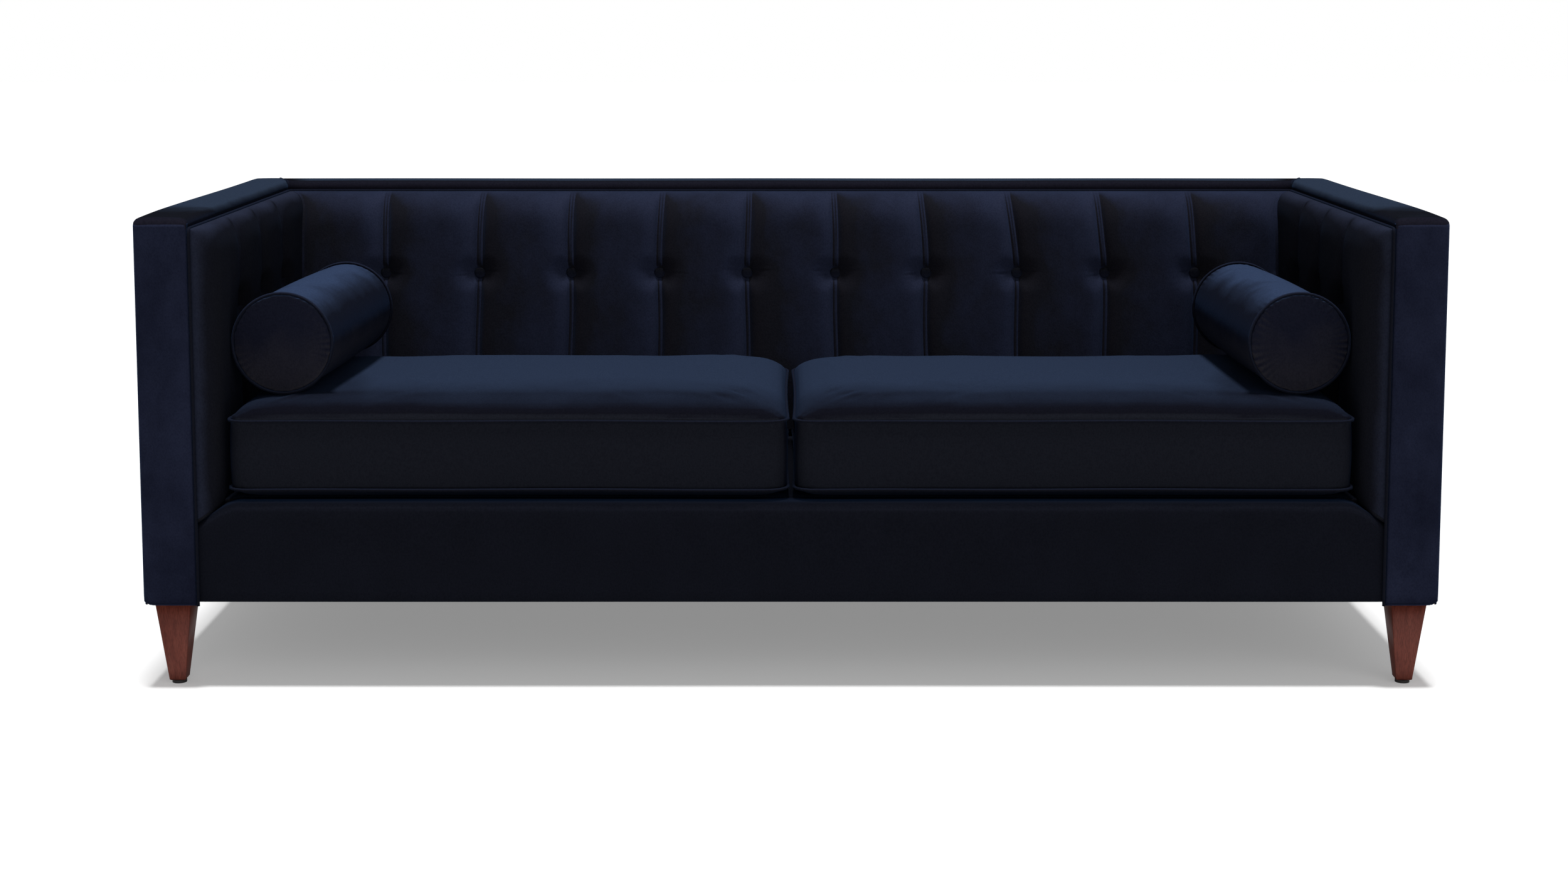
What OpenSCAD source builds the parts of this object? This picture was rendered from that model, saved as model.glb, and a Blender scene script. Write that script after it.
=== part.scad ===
// Tuxedo sofa: a low boxed sofa whose arms and back are one height, with a channelled and
// buttoned inside, two loose box cushions, two bolsters and four tapered legs.
// X runs along the sofa, Y from the front to the back, Z up. The origin is on the floor, under
// the middle of the sofa. Millimetres.

/* [Overall] */
// Width over the outside of the arms
overall_w = 2134; // [1900:1:2400]
// Depth from the arm fronts to the outside back
overall_d = 864; // [820:1:940]
// Height of the arms and the back
overall_h = 784; // [740:1:860]
// Clear height under the upholstered base
base_h = 140; // [100:1:180]

/* [Arms and back] */
// Width of the flat band along the top of the arms and the back
band_w = 88; // [76:1:110]
// Depth of the band's lip, down to the seam above the channels
lip_h = 20; // [14:1:30]
// Thickness of the padding on top of the band
band_pad = 12; // [8:1:16]
// Thickness of the padded panel on each arm front
front_pad = 12; // [8:1:18]
// Thickness of the velvet and wadding on the outside faces
skin = 4; // [2:0.5:6]
// How far the inside arm padding stands off its board
arm_pad = 39; // [30:1:50]
// How far the inside back padding stands off its board
back_pad = 75; // [60:1:90]
// How far the inside back board leans forward at the seat
back_lean = 52; // [30:1:60]
// Radius of the soft edges of the band and the arm fronts
edge_r = 9; // [4:1:11]
// How far the band's corner seam runs outwards on its way to the back
corner_shift = 36; // [20:1:60]
// Width of the slope at each end of the front rail's top
slope_w = 54; // [42:1:70]
// Drop of that slope
slope_h = 35; // [20:1:40]

/* [Channels and buttons] */
// Number of channels across the inside back
back_channels = 11; // [9:2:13]
// Distance from the arm front to the first channel seam
arm_first_seam = 228; // [210:1:240]
// Number of channel seams on each inside arm
arm_seams = 3; // [2:1:3]
// Depth of a channel seam below the crown of the channel
seam_deep = 20; // [10:1:26]
// Depth of the dimple under a button, below the crown
dimple_deep = 26; // [14:1:30]
// Height of the row of buttons above the floor
button_z = 611; // [580:1:640]
// Diameter of a covered button
button_d = 21; // [16:1:24]

/* [Seat] */
// Height of the front rail cover's top above the floor
rail_top = 310; // [290:1:330]
// Gap between the seat cushions and the foot of the inside back
back_gap = 7; // [3:1:30]
// Height of the boxing between the two welts
boxing_h = 114; // [90:1:125]
// Rise of the crown above the top welt
crown_h = 36; // [20:1:40]
// Drop of the underside below the bottom welt
under_h = 20; // [14:1:28]
// Slope of the seat, down towards the back, in degrees
seat_pitch = 0.6; // [0:0.1:1.5]
// Setback of the cushion's front from the arm fronts
cushion_setback = 22; // [16:1:40]
// Gap between each cushion and the inside arm
side_gap = 5; // [3:1:8]
// Gap between the two cushions
middle_gap = 3; // [2:1:6]

/* [Bolsters] */
// Diameter of a bolster over its welts
bolster_d = 172; // [140:1:180]
// Distance from the arm front plane to the bolster's front end
bolster_setback = 104; // [80:1:160]
// Distance from the bolster's back end to the back of its cushion
bolster_back = 28; // [15:1:100]
// Turn of the left bolster about the vertical, in degrees
left_turn = 1.5; // [0:0.5:2]
// Turn of the right bolster about the vertical, in degrees
right_turn = 0.5; // [0:0.5:2]

/* [Legs] */
// Width of a leg at its top
leg_top = 59; // [50:1:66]
// Width of a leg at its foot
leg_foot = 27; // [25:1:40]
// Distance from the outside faces to a leg
leg_inset = 16; // [8:1:18]
// Thickness of a glide
glide_h = 5; // [3:1:8]

/* [Frame] */
// Thickness of the solid rails
rail_t = 25; // [20:1:28]
// Thickness of the posts, front to back
post_t = 33; // [30:1:40]
// Thickness of the top boards
board_t = 22; // [18:1:28]
// Thickness of the inside boards under the padding
panel_t = 6; // [4:1:6]
// Height of the side and back rails
rail_h = 120; // [100:1:125]
// Height of the corner blocks
block_h = 40; // [32:1:46]
// Thickness of the plywood ribs
rib_t = 18; // [12:1:24]
// Number of seat springs
spring_count = 8; // [6:1:9]
// Diameter of the spring wire
wire_d = 4; // [3:0.5:4.5]

/* [Hidden] */

velvet = "#1b2338";
velvet_dark = "#141a2b";
timber = "#c9a472";
plywood = "#d8bd8f";
stain = "#5c332c";
steel = "#9aa0a6";
foam = "#e6dfb8";
felt = "#8d8f90";
black = "#1c1c1e";

// Shared clearances
fit = 0.3;          // a curved or soft piece and its seat
pad_play = 0.1;     // a padding's flat back and its board
overrun = 5;        // a cut past the face that it opens
$fn = 48;

// Planes of the shell and the frame
half_w = overall_w / 2;
front_y = -overall_d / 2;
back_y = overall_d / 2;
frame_out_x = half_w - skin;
inner_x = half_w - band_w;             // the band's inner edge and the face of the inside boards
frame_in_x = inner_x + panel_t;
frame_front_y = front_y + front_pad;
frame_back_y = back_y - skin;
inner_y = back_y - band_w;             // the same plane on the back, at the band
frame_in_y = inner_y + panel_t;
frame_top = overall_h - band_pad;
board_z = frame_top - board_t;
lip_z = overall_h - lip_h;
dust_t = 1;
frame_z = base_h + dust_t;
block_top = frame_z + block_h;
rail_z = frame_z + rail_h;
block_d = 80;                          // corner block, front to back
post_back_y = frame_back_y - post_t;
post_front_back = frame_front_y + post_t;

// Front rail and its cover
cover_setback = 8;
cover_t = 12;
cover_wrap = 2;
cover_lift = 5;
cover_r = 14;
cover_y = front_y + cover_setback;
rail_y = cover_y + cover_t;
rail_wood_top = rail_top - cover_t;
rail_wood_z = base_h + cover_lift + cover_wrap;
cover_back = rail_y + rail_t + cover_t;

// Seat deck, in a frame that slopes with the seat from the back edge of the rail cover
deck_y = cover_back;
deck_drop = 2;                         // the deck's front edge below the rail cover's top
deck_z = rail_top - deck_drop;
cloth_t = 2;
felt_t = 12;
deck_end = inner_y - back_lean - fit;  // where the deck meets the inside back board
deck_l = (deck_end - deck_y) / cos(seat_pitch);
deck_in = (cloth_t + felt_t) * tan(seat_pitch) + pad_play;
spring_rail_h = 40;
spring_drop = 26;                      // the spring ends below the deck's underside
spring_back_y = inner_y - back_lean + panel_t;

// Inside back: the board leans from the lip down to the seat
lean_share = back_lean / (lip_z - rail_top);
function board_face(z) = inner_y - (lip_z - z) * lean_share;

// Channels
pad_inner_x = inner_x - arm_pad;       // crown of the inside arm
pad_gap = 0.5;
back_half = pad_inner_x - pad_gap;
channel_w = 2 * back_half / back_channels;
pad_edge = 6;                          // thickness of the padding at its seamed edges
shoulder_h = 50;                       // how far below the lip the padding reaches its crown
front_round = 62;                      // the same, behind the arm front
button_seat = 14;                      // flat half width under a button
dimple_r = 62;
welt_d = 6;
welt_r = welt_d / 2;
pad_z = rail_top + fit;
arm_pad_front = front_y + welt_d + 2 * fit;

// What comes off a corner at the origin, of a shape that lies in +X and +Y, to round it
module corner_cut(r) {
    difference() {
        translate([-overrun, -overrun]) square(r + overrun);
        translate([r, r]) circle(r = r);
    }
}

// An outline in X and Z, run along Y from one place to another
module along_y(from, to) {
    translate([0, to, 0])
        rotate([90, 0, 0])
            linear_extrude(height = to - from) children();
}

// A soft quarter round, 0 at share 0 and 1 at share 1
function round_in(share) = sqrt(max(0, 1 - pow(1 - min(1, max(0, share)), 2)));
// A smooth step down, 1 at share 0 and 0 at share 1
function fade(share) = let (s = min(1, max(0, share))) 1 - s * s * (3 - 2 * s);

// Places across a channel, as shares of its width, close to the seams and wide in the middle
channel_shares = [0, 0.082, 0.25, 0.5, 0.75, 0.918];
// How much of the seam's depth each of those places has
groove_shares = [1, 0.42, 0.1, 0, 0.1, 0.42];

function groove_at(i) = groove_shares[i % len(groove_shares)];
function dimple(du, dz) =
    fade((sqrt(du * du + dz * dz) - button_seat * sqrt(2)) / (dimple_r - button_seat * sqrt(2)));

// Heights of the rows of a pad: as shares between its foot, the button row and the lip
low_row_shares = [0, 0.2, 0.42, 0.64, 0.82];
high_row_shares = [0.18, 0.4, 0.55, 0.7, 0.83, 0.93, 0.985, 1];
pad_rows = [
    for (s = low_row_shares) pad_z + s * (button_z - button_seat - pad_z),
    button_z - button_seat, button_z, button_z + button_seat,
    for (s = high_row_shares) button_z + button_seat + s * (lip_z - fit - button_z - button_seat)
];

// Thickness of a pad: its crown, less the groove or the dimple, eased to the lip
function pad_thick(crown, z, groove, du, edge) =
    let (
        eased = round_in((lip_z - z) / shoulder_h) * edge,
        sunk = max(seam_deep * groove, dimple_deep * dimple(du, z - button_z))
    )
    pad_edge + (crown - pad_edge) * eased - sunk * min(1, eased);

// A closed pad from a grid of front points and the same grid on its board
module quilt(front, back) {
    rows = len(front);
    cols = len(front[0]);
    n = rows * cols;
    function at(r, c, side) = side * n + r * cols + c;
    rim = concat(
        [for (c = [0 : cols - 1]) [0, c]],
        [for (r = [1 : rows - 1]) [r, cols - 1]],
        [for (c = [cols - 2 : -1 : 0]) [rows - 1, c]],
        [for (r = [rows - 2 : -1 : 1]) [r, 0]]
    );
    m = len(rim);
    middle = n + m;
    // The board side is flat, so it needs only its rim and a fan from its middle
    points = concat(
        [for (row = front) each row],
        [for (k = rim) back[k[0]][k[1]]],
        [(back[0][0] + back[rows - 1][cols - 1]) / 2]
    );
    faces = concat(
        [for (r = [0 : rows - 2]) for (c = [0 : cols - 2])
            [at(r, c, 0), at(r + 1, c, 0), at(r + 1, c + 1, 0)]],
        [for (r = [0 : rows - 2]) for (c = [0 : cols - 2])
            [at(r, c, 0), at(r + 1, c + 1, 0), at(r, c + 1, 0)]],
        [for (k = [0 : m - 1]) let (a = rim[k], b = rim[(k + 1) % m])
            [at(a[0], a[1], 0), at(b[0], b[1], 0), n + (k + 1) % m]],
        [for (k = [0 : m - 1]) let (a = rim[k])
            [at(a[0], a[1], 0), n + (k + 1) % m, n + k]],
        [for (k = [0 : m - 1]) [middle, n + k, n + (k + 1) % m]]
    );
    polyhedron(points = points, faces = faces, convexity = 10);
}

module mirrored() {
    children();
    mirror([1, 0, 0]) children();
}

module on_side(side) {
    mirror([side < 0 ? 1 : 0, 0, 0]) children();
}

module block(low, high) {
    translate(low) cube(high - low);
}

// An outline in Y and Z, run along X from one place to another
module along_x(from, to) {
    translate([from, 0, 0])
        rotate([90, 0, 90])
            linear_extrude(height = to - from) children();
}

// Frame

dowel_d = 10;
dowel_l = 60;
dowel_play = 0.1;
dowel_edge = 40;                       // from a rail's edges to its dowels
front_dowel_y = rail_y + rail_t / 2;
back_dowel_y = frame_back_y - rail_t / 2;
front_dowel_z = [block_top + dowel_edge / 2, rail_wood_top - dowel_edge];
back_dowel_z = [block_top + dowel_edge / 2, rail_z - dowel_edge / 2];

module dowel_row(y, heights, play) {
    for (z = heights)
        translate([frame_in_x - dowel_l / 2, y, z])
            rotate([0, 90, 0])
                translate([0, 0, -play])
                    cylinder(d = dowel_d + 2 * play, h = dowel_l + 2 * play);
}

module dowel_holes() {
    dowel_row(front_dowel_y, front_dowel_z, dowel_play);
    dowel_row(back_dowel_y, back_dowel_z, dowel_play);
}

// What comes off both ends of the front rail's top for the toes of the arm padding
module end_slopes(drop) {
    mirrored()
        along_y(front_y, cover_back + overrun)
            translate([inner_x - slope_w, rail_top - drop])
                polygon([
                    [0, 0], [2 * slope_w, -2 * slope_h], [2 * slope_w, slope_h], [0, slope_h]
                ]);
}

slope_cover = 8;                       // the rail's own slopes lie this far under the cover's

module front_rail() {
    color(timber)
        difference() {
            block([-frame_in_x, rail_y, rail_wood_z], [frame_in_x, rail_y + rail_t, rail_wood_top]);
            end_slopes(slope_cover);
            mirrored() dowel_holes();
        }
}

module back_rail() {
    color(timber)
        difference() {
            block([-frame_in_x, frame_back_y - rail_t, frame_z], [frame_in_x, frame_back_y, rail_z]);
            mirrored() dowel_holes();
        }
}

module side_rail() {
    color(timber)
        union() {
            block([frame_out_x - rail_t, frame_front_y + block_d, frame_z],
                  [frame_out_x, frame_back_y - block_d, block_top]);
            block([frame_out_x - rail_t, post_front_back, block_top],
                  [frame_out_x, post_back_y, rail_z]);
        }
}

module post_front() {
    color(timber)
        difference() {
            block([frame_in_x, frame_front_y, block_top], [frame_out_x, post_front_back, board_z]);
            dowel_holes();
        }
}

module post_back() {
    color(timber)
        difference() {
            block([frame_in_x, post_back_y, block_top], [frame_out_x, frame_back_y, board_z]);
            dowel_holes();
        }
}

module arm_board() {
    color(plywood)
        block([frame_in_x, frame_front_y, board_z], [frame_out_x, frame_back_y, frame_top]);
}

stud_t = 28;
stud_places = [
    (post_front_back + inner_y) / 2,
    inner_y - stud_t
];

module arm_studs() {
    color(timber)
        mirrored()
            for (y = stud_places)
                block([frame_in_x, y, rail_z], [frame_out_x, y + stud_t, board_z]);
}

module back_top_board() {
    color(plywood)
        block([-frame_in_x, frame_in_y, board_z], [frame_in_x, frame_back_y, frame_top]);
}

rib_foot = rail_z - spring_rail_h;
rib_shares = [-1, -0.5, 0, 0.5, 1];
rib_places = rib_shares * (inner_x - rib_t / 2);

module back_ribs() {
    color(plywood)
        for (x = rib_places)
            along_x(x - rib_t / 2, x + rib_t / 2)
                polygon([
                    [frame_in_y, board_z],
                    [frame_back_y, board_z],
                    [frame_back_y, rail_z],
                    [frame_back_y - rail_t, rail_z],
                    [frame_back_y - rail_t, rib_foot],
                    [spring_back_y, rib_foot],
                    [spring_back_y, rail_top]
                ]);
}

spring_rail_z = deck_z - cloth_t - felt_t - spring_drop;
spring_back_z = spring_rail_z - (spring_back_y - deck_y) * tan(seat_pitch);

module spring_rail(y, top) {
    color(timber)
        block([rail_t - frame_out_x, y - rail_t, top - spring_rail_h], [frame_out_x - rail_t, y, top]);
}

module spring_rail_front() {
    spring_rail(rail_y + 2 * rail_t, spring_rail_z);
}

module spring_rail_back() {
    spring_rail(spring_back_y, spring_back_z);
}

stretcher_h = 60;
stretcher_shares = [-0.34, 0.34];
stretcher_places = stretcher_shares * half_w;

module seat_stretchers() {
    color(timber)
        for (x = stretcher_places)
            block([x - rail_t / 2, rail_y + rail_t, rail_wood_z],
                  [x + rail_t / 2, frame_back_y - rail_t, rail_wood_z + stretcher_h]);
}

module frame_dowels() {
    color(timber)
        mirrored() {
            dowel_row(front_dowel_y, front_dowel_z, 0);
            dowel_row(back_dowel_y, back_dowel_z, 0);
        }
}

// Legs and their hardware

leg_x = half_w - leg_inset - leg_top / 2;
leg_y = -front_y - leg_inset - leg_top / 2;
bolt_d = 8;
bolt_play = 0.1;
bolt_in_leg = 34;
nut_flange_d = 21;
nut_flange_t = 1.6;
nut_barrel_d = 10;
nut_barrel_l = 12;
nut_play = 0.1;
glide_d = 24;
nail_d = 2.4;
nail_l = 14;
leg_corners = [[-1, -1], [1, -1], [-1, 1], [1, 1]];

module at_legs() {
    for (c = leg_corners)
        translate([c[0] * leg_x, c[1] * leg_y, 0]) children();
}

module corner_blocks() {
    color(timber)
        difference() {
            for (c = leg_corners)
                block([c[0] > 0 ? frame_in_x : -frame_out_x,
                       c[1] > 0 ? frame_back_y - block_d : frame_front_y, frame_z],
                      [c[0] > 0 ? frame_out_x : -frame_in_x,
                       c[1] > 0 ? frame_back_y : frame_front_y + block_d, block_top]);
            at_legs() {
                translate([0, 0, frame_z - overrun])
                    cylinder(d = nut_barrel_d + 2 * nut_play, h = block_h + 2 * overrun);
                translate([0, 0, block_top - nut_flange_t - nut_play])
                    cylinder(d = nut_flange_d + 2 * nut_play, h = nut_flange_t + nut_play + overrun);
            }
        }
}

module leg_tee_nuts() {
    color(steel)
        at_legs()
            translate([0, 0, block_top - nut_flange_t])
                difference() {
                    union() {
                        cylinder(d = nut_flange_d, h = nut_flange_t);
                        translate([0, 0, -nut_barrel_l])
                            cylinder(d = nut_barrel_d, h = nut_barrel_l + nut_flange_t);
                    }
                    translate([0, 0, -nut_barrel_l - overrun])
                        cylinder(d = bolt_d + 2 * bolt_play, h = nut_barrel_l + nut_flange_t + 2 * overrun);
                }
}

module leg_bolts() {
    color(steel)
        at_legs()
            translate([0, 0, base_h - bolt_in_leg])
                cylinder(d = bolt_d, h = bolt_in_leg + dust_t + block_h - nut_flange_t);
}

module leg_taper() {
    linear_extrude(height = leg_top, center = true)
        polygon([
            [-leg_foot / 2, glide_h], [leg_foot / 2, glide_h],
            [leg_top / 2, base_h], [-leg_top / 2, base_h]
        ]);
}

module leg(corner) {
    color(stain)
        translate([corner[0] * leg_x, corner[1] * leg_y, 0])
            difference() {
                intersection() {
                    rotate([90, 0, 0]) leg_taper();
                    rotate([90, 0, 90]) leg_taper();
                }
                translate([0, 0, base_h - bolt_in_leg - bolt_play])
                    cylinder(d = bolt_d + 2 * bolt_play, h = bolt_in_leg + overrun);
                translate([0, 0, glide_h - overrun])
                    cylinder(d = nail_d + 2 * bolt_play, h = nail_l + overrun + bolt_play);
            }
}

module glides() {
    color(black)
        at_legs() {
            cylinder(d = glide_d, h = glide_h);
            cylinder(d = nail_d, h = glide_h + nail_l);
        }
}

// Seat suspension and deck

module deck_frame() {
    translate([0, deck_y, deck_z])
        rotate([-seat_pitch, 0, 0]) children();
}

module deck_cloth() {
    color(velvet_dark)
        deck_frame() block([-inner_x, deck_in, -cloth_t], [inner_x, deck_l, 0]);
}

module deck_pad() {
    color(felt)
        deck_frame() block([-inner_x, deck_in, -cloth_t - felt_t], [inner_x, deck_l, -cloth_t]);
}

spring_w = 52;                         // over the loops
spring_turns = 10;
turn_steps = 4;
wire_sides = 5;
spring_place_w = 2 * inner_x / spring_count;
clip_t = 1.5;
end_lift = wire_d / 2 + clip_t + fit;  // the wire's centre above the spring rail, over the clip
spring_from = rail_t / 2;              // behind the front spring rail's front edge
spring_start = rail_y + rail_t + spring_from;
spring_end = spring_back_y - rail_t / 2;

// A zigzag wire along Y: straight bars across, joined by half round bends, arched up in the middle
function zigzag(t) =
    let (
        turn = min(spring_turns - 1, floor(t)),
        s = t - turn,
        y = spring_start + (spring_end - spring_start) * (turn + fade(1 - s)) / spring_turns,
        side = turn % 2 == 0 ? 1 : -1,
        x = side * spring_w / 2 * (t <= 0 ? -1 : t >= spring_turns ? 1 : -cos(180 * s)),
        share = (y - spring_start) / (spring_end - spring_start),
        arch = sin(180 * share) * (spring_drop - end_lift - wire_d / 2 - fit),
        z = spring_rail_z + end_lift + arch + (spring_back_z - spring_rail_z) * share
    )
    [x, y, z];

spring_route = [for (k = [0 : spring_turns * turn_steps]) zigzag(k / turn_steps)];

function unit(v) = v / norm(v);

module tube(route, d, sides) {
    n = len(route);
    points = [
        for (k = [0 : n - 1])
            let (
                along = unit(route[min(n - 1, k + 1)] - route[max(0, k - 1)]),
                across = unit(cross([0, 0, 1], along)),
                up = cross(along, across)
            )
            for (j = [0 : sides - 1])
                route[k] + d / 2 * (across * cos(360 * j / sides) + up * sin(360 * j / sides))
    ];
    faces = concat(
        [[for (j = [0 : sides - 1]) j]],
        [for (k = [0 : n - 2]) for (j = [0 : sides - 1])
            [k * sides + j, (k + 1) * sides + j, (k + 1) * sides + (j + 1) % sides]],
        [for (k = [0 : n - 2]) for (j = [0 : sides - 1])
            [k * sides + j, (k + 1) * sides + (j + 1) % sides, k * sides + (j + 1) % sides]],
        [[for (j = [sides - 1 : -1 : 0]) (n - 1) * sides + j]]
    );
    polyhedron(points = points, faces = faces, convexity = 10);
}

module seat_springs() {
    color(steel)
        for (k = [0 : spring_count - 1])
            translate([-inner_x + spring_place_w * (k + 0.5), 0, 0])
                tube(spring_route, wire_d, wire_sides);
}

clip_w = 24;

module clip(place, top) {
    reach = wire_d / 2 + fit;
    translate([-clip_w / 2, place, top])
        rotate([90, 0, 90])
            linear_extrude(height = clip_w)
                difference() {
                    translate([-reach - clip_t, 0])
                        square([2 * (reach + clip_t), 2 * (reach + clip_t)]);
                    translate([-reach, clip_t])
                        square([2 * reach + clip_t + overrun, 2 * reach]);
                }
}

module spring_clips() {
    color(steel)
        for (k = [0 : spring_count - 1])
            translate([-inner_x + spring_place_w * (k + 0.5), 0, 0]) {
                translate([-spring_w / 4, 0, 0]) clip(spring_start, spring_rail_z);
                translate([spring_w / 4, 0, 0])
                    mirror([0, 1, 0]) clip(-spring_end, spring_back_z);
            }
}

// Inside boards

module inside_back_board() {
    color(plywood)
        along_x(-inner_x, inner_x)
            polygon([
                [inner_y, lip_z],
                [frame_in_y, lip_z],
                [frame_in_y, board_z],
                [spring_back_y, rail_top],
                [spring_back_y, rail_wood_top],
                [inner_y - back_lean, rail_wood_top],
                [inner_y - back_lean, rail_top]
            ]);
}

module inside_arm_board() {
    color(plywood)
        block([inner_x, frame_front_y, rail_wood_top], [frame_in_x, inner_y, lip_z]);
}

// Inside padding

function back_seam(k) = -back_half + k * channel_w;

back_cols = back_channels * len(channel_shares);

// The back padding's side at a height, against the arm padding, whose top is rounded
function back_side(z) = inner_x - pad_thick(arm_pad, z, 0, channel_w, 1) - pad_gap;
// Where a place along the row of channels is at a height: the end channels widen with the corner
function back_place(c, z) =
    let (
        k = floor(c / len(channel_shares)),
        s = channel_shares[c % len(channel_shares)],
        end_w = back_side(z) - back_seam(back_channels - 1)
    )
    c == back_cols ? back_side(z)
        : k == 0 ? s * end_w - back_side(z)
        : back_seam(k) + s * (k == back_channels - 1 ? end_w : channel_w);
end_groove_share = 0.5;                // the corner's groove, as a share of a seam's

module inside_back() {
    front = [
        for (z = pad_rows) [
            for (c = [0 : back_cols])
                let (
                    x = back_place(c, z),
                    nearest = min([for (k = [1 : back_channels - 1]) abs(x - back_seam(k))]),
                    groove = c == 0 || c == back_cols ? end_groove_share
                        : c == 1 ? end_groove_share * groove_at(c)
                        : c == back_cols - 1 ? end_groove_share * groove_at(c)
                        : groove_at(c)
                )
                [x, board_face(z) - pad_thick(back_pad, z, groove, nearest, 1), z]
        ]
    ];
    back = [
        for (z = pad_rows) [
            for (c = [0 : back_cols]) [back_place(c, z), board_face(z) - pad_play, z]
        ]
    ];
    color(velvet) quilt(front, back);
}

arm_seam_y = [for (k = [0 : arm_seams - 1]) front_y + arm_first_seam + k * channel_w];
arm_last_y = arm_seam_y[arm_seams - 1];
toe_run = 20;                          // the toe ends over this length, at the rail cover's back
toe_y = cover_back - toe_run;
arm_front_shares = [0.3, 0.62, 0.84, 0.935];
arm_end_shares = [0.1, 0.3, 0.6, 1];
front_to_back = concat(
    [arm_pad_front, (arm_pad_front + toe_y) / 2 - welt_r, toe_y, cover_back - fit],
    [for (s = arm_front_shares) cover_back + s * (arm_seam_y[0] - cover_back)],
    [for (k = [0 : arm_seams - 2]) for (s = channel_shares) arm_seam_y[k] + s * channel_w],
    [arm_last_y],
    [for (s = arm_end_shares) arm_last_y + s * (inner_y - arm_last_y)]
);
arm_places = [for (k = [len(front_to_back) - 1 : -1 : 0]) front_to_back[k]];

function to_arm_seam(y) = min([for (s = arm_seam_y) abs(y - s)]);
function arm_groove(y) = lookup(to_arm_seam(y) / channel_w, [
    [channel_shares[0], groove_shares[0]],
    [channel_shares[1], groove_shares[1]],
    [channel_shares[2], groove_shares[2]],
    [channel_shares[3], groove_shares[3]]
]);

// The last channel runs on to the leaning back board
function arm_place(y, z) =
    y <= arm_last_y ? y : arm_last_y + (y - arm_last_y) * (board_face(z) - pad_play - arm_last_y)
        / (inner_y - arm_last_y);
// The padding's toe, down over the sloped end of the front rail
function toe(y) = slope_h * min(1, max(0, (cover_back - fit - y) / toe_run));

module inside_arm() {
    front = [
        for (z = pad_rows) [
            for (p = arm_places)
                let (y = arm_place(p, z))
                [inner_x - pad_thick(arm_pad, z, arm_groove(y), to_arm_seam(y),
                                     round_in((y - arm_pad_front) / front_round)), y, z]
        ]
    ];
    back = [
        for (r = [0 : len(pad_rows) - 1]) [
            for (p = arm_places)
                [inner_x, arm_place(p, pad_rows[r]), pad_rows[r] - (r == 0 ? toe(p) : 0)]
        ]
    ];
    color(velvet) quilt(front, back);
}

button_t = 7;
button_rim = 2;
button_dome = 3.2;                     // how far the dome's shoulder is below its top
// The dome's outline, as shares of the button's radius and of the dome's height
button_dome_shares = [[1, 0], [0.8, 0.67], [0.44, 0.94], [0, 1]];

module button() {
    rotate_extrude()
        polygon(concat(
            [[0, 0], [button_d / 2 - button_rim, 0], [button_d / 2, button_rim]],
            [for (s = button_dome_shares) [s[0] * button_d / 2, button_t - (1 - s[1]) * button_dome]]
        ));
}

module tuft_buttons() {
    lean = atan(lean_share);
    back_out = board_face(button_z) - (back_pad - dimple_deep) - fit / cos(lean);
    arm_out = inner_x - (arm_pad - dimple_deep) - fit;
    color(velvet) {
        for (k = [1 : back_channels - 1])
            translate([back_seam(k), back_out, button_z])
                rotate([90 - lean, 0, 0]) button();
        mirrored()
            for (y = arm_seam_y)
                translate([arm_out, y, button_z])
                    rotate([0, -90, 0]) button();
    }
}

// Bands along the top

// A bar's outline with its two top corners rounded, from the origin, as wide as given
module band_outline(width) {
    difference() {
        square([width, lip_h]);
        translate([0, lip_h]) mirror([0, 1, 0]) corner_cut(edge_r);
        translate([width, lip_h]) rotate([0, 0, 180]) corner_cut(edge_r);
    }
}

// Everything on the inner side of the corner seam, on the right
module inside_seam() {
    translate([inner_x, inner_y, lip_z - overrun])
        rotate([0, 0, atan2(band_w, corner_shift)])
            block([-overall_w, 0, 0], [overall_w, overall_w, lip_h + 2 * overrun]);
}

// The hollow under the bands that the top boards fill
module board_room() {
    mirrored()
        block([frame_in_x, frame_front_y, lip_z - overrun], [frame_out_x, frame_back_y, frame_top]);
    block([-frame_out_x, frame_in_y, lip_z - overrun], [frame_out_x, frame_back_y, frame_top]);
}

module band_arm() {
    color(velvet)
        difference() {
            intersection() {
                along_y(front_y, back_y) translate([inner_x, lip_z]) band_outline(band_w);
                along_x(inner_x, half_w) translate([front_y, lip_z]) band_outline(overall_d);
            }
            inside_seam();
            board_room();
            // the padded panel under the front end
            block([inner_x - overrun, front_y - overrun, lip_z - overrun],
                  [half_w + overrun, frame_front_y, frame_top]);
        }
}

module band_back() {
    color(velvet)
        difference() {
            intersection() {
                along_x(-half_w, half_w) translate([inner_y, lip_z]) band_outline(band_w);
                along_y(inner_y, back_y) translate([-half_w, lip_z]) band_outline(overall_w);
                within_both() inside_seam();
            }
            board_room();
        }
}

// What a shape and its mirror image share
module within_both() {
    intersection() {
        children();
        mirror([1, 0, 0]) children();
    }
}

// Outside covers

module arm_front() {
    color(velvet)
        translate([inner_x, front_y, base_h])
            linear_extrude(height = frame_top - base_h)
                difference() {
                    square([band_w, front_pad]);
                    corner_cut(edge_r / 2);
                    translate([band_w, 0]) mirror([1, 0]) corner_cut(edge_r);
                }
}

module arm_welts() {
    color(velvet_dark)
        mirrored()
            translate([inner_x - welt_r - fit, front_y + welt_r, base_h])
                cylinder(r = welt_r, h = frame_top - base_h);
}

module outside_arm() {
    color(velvet)
        block([frame_out_x, frame_front_y, base_h], [half_w, back_y, lip_z]);
}

module outside_back() {
    color(velvet)
        block([-frame_out_x, frame_back_y, base_h], [frame_out_x, back_y, lip_z]);
}

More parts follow.
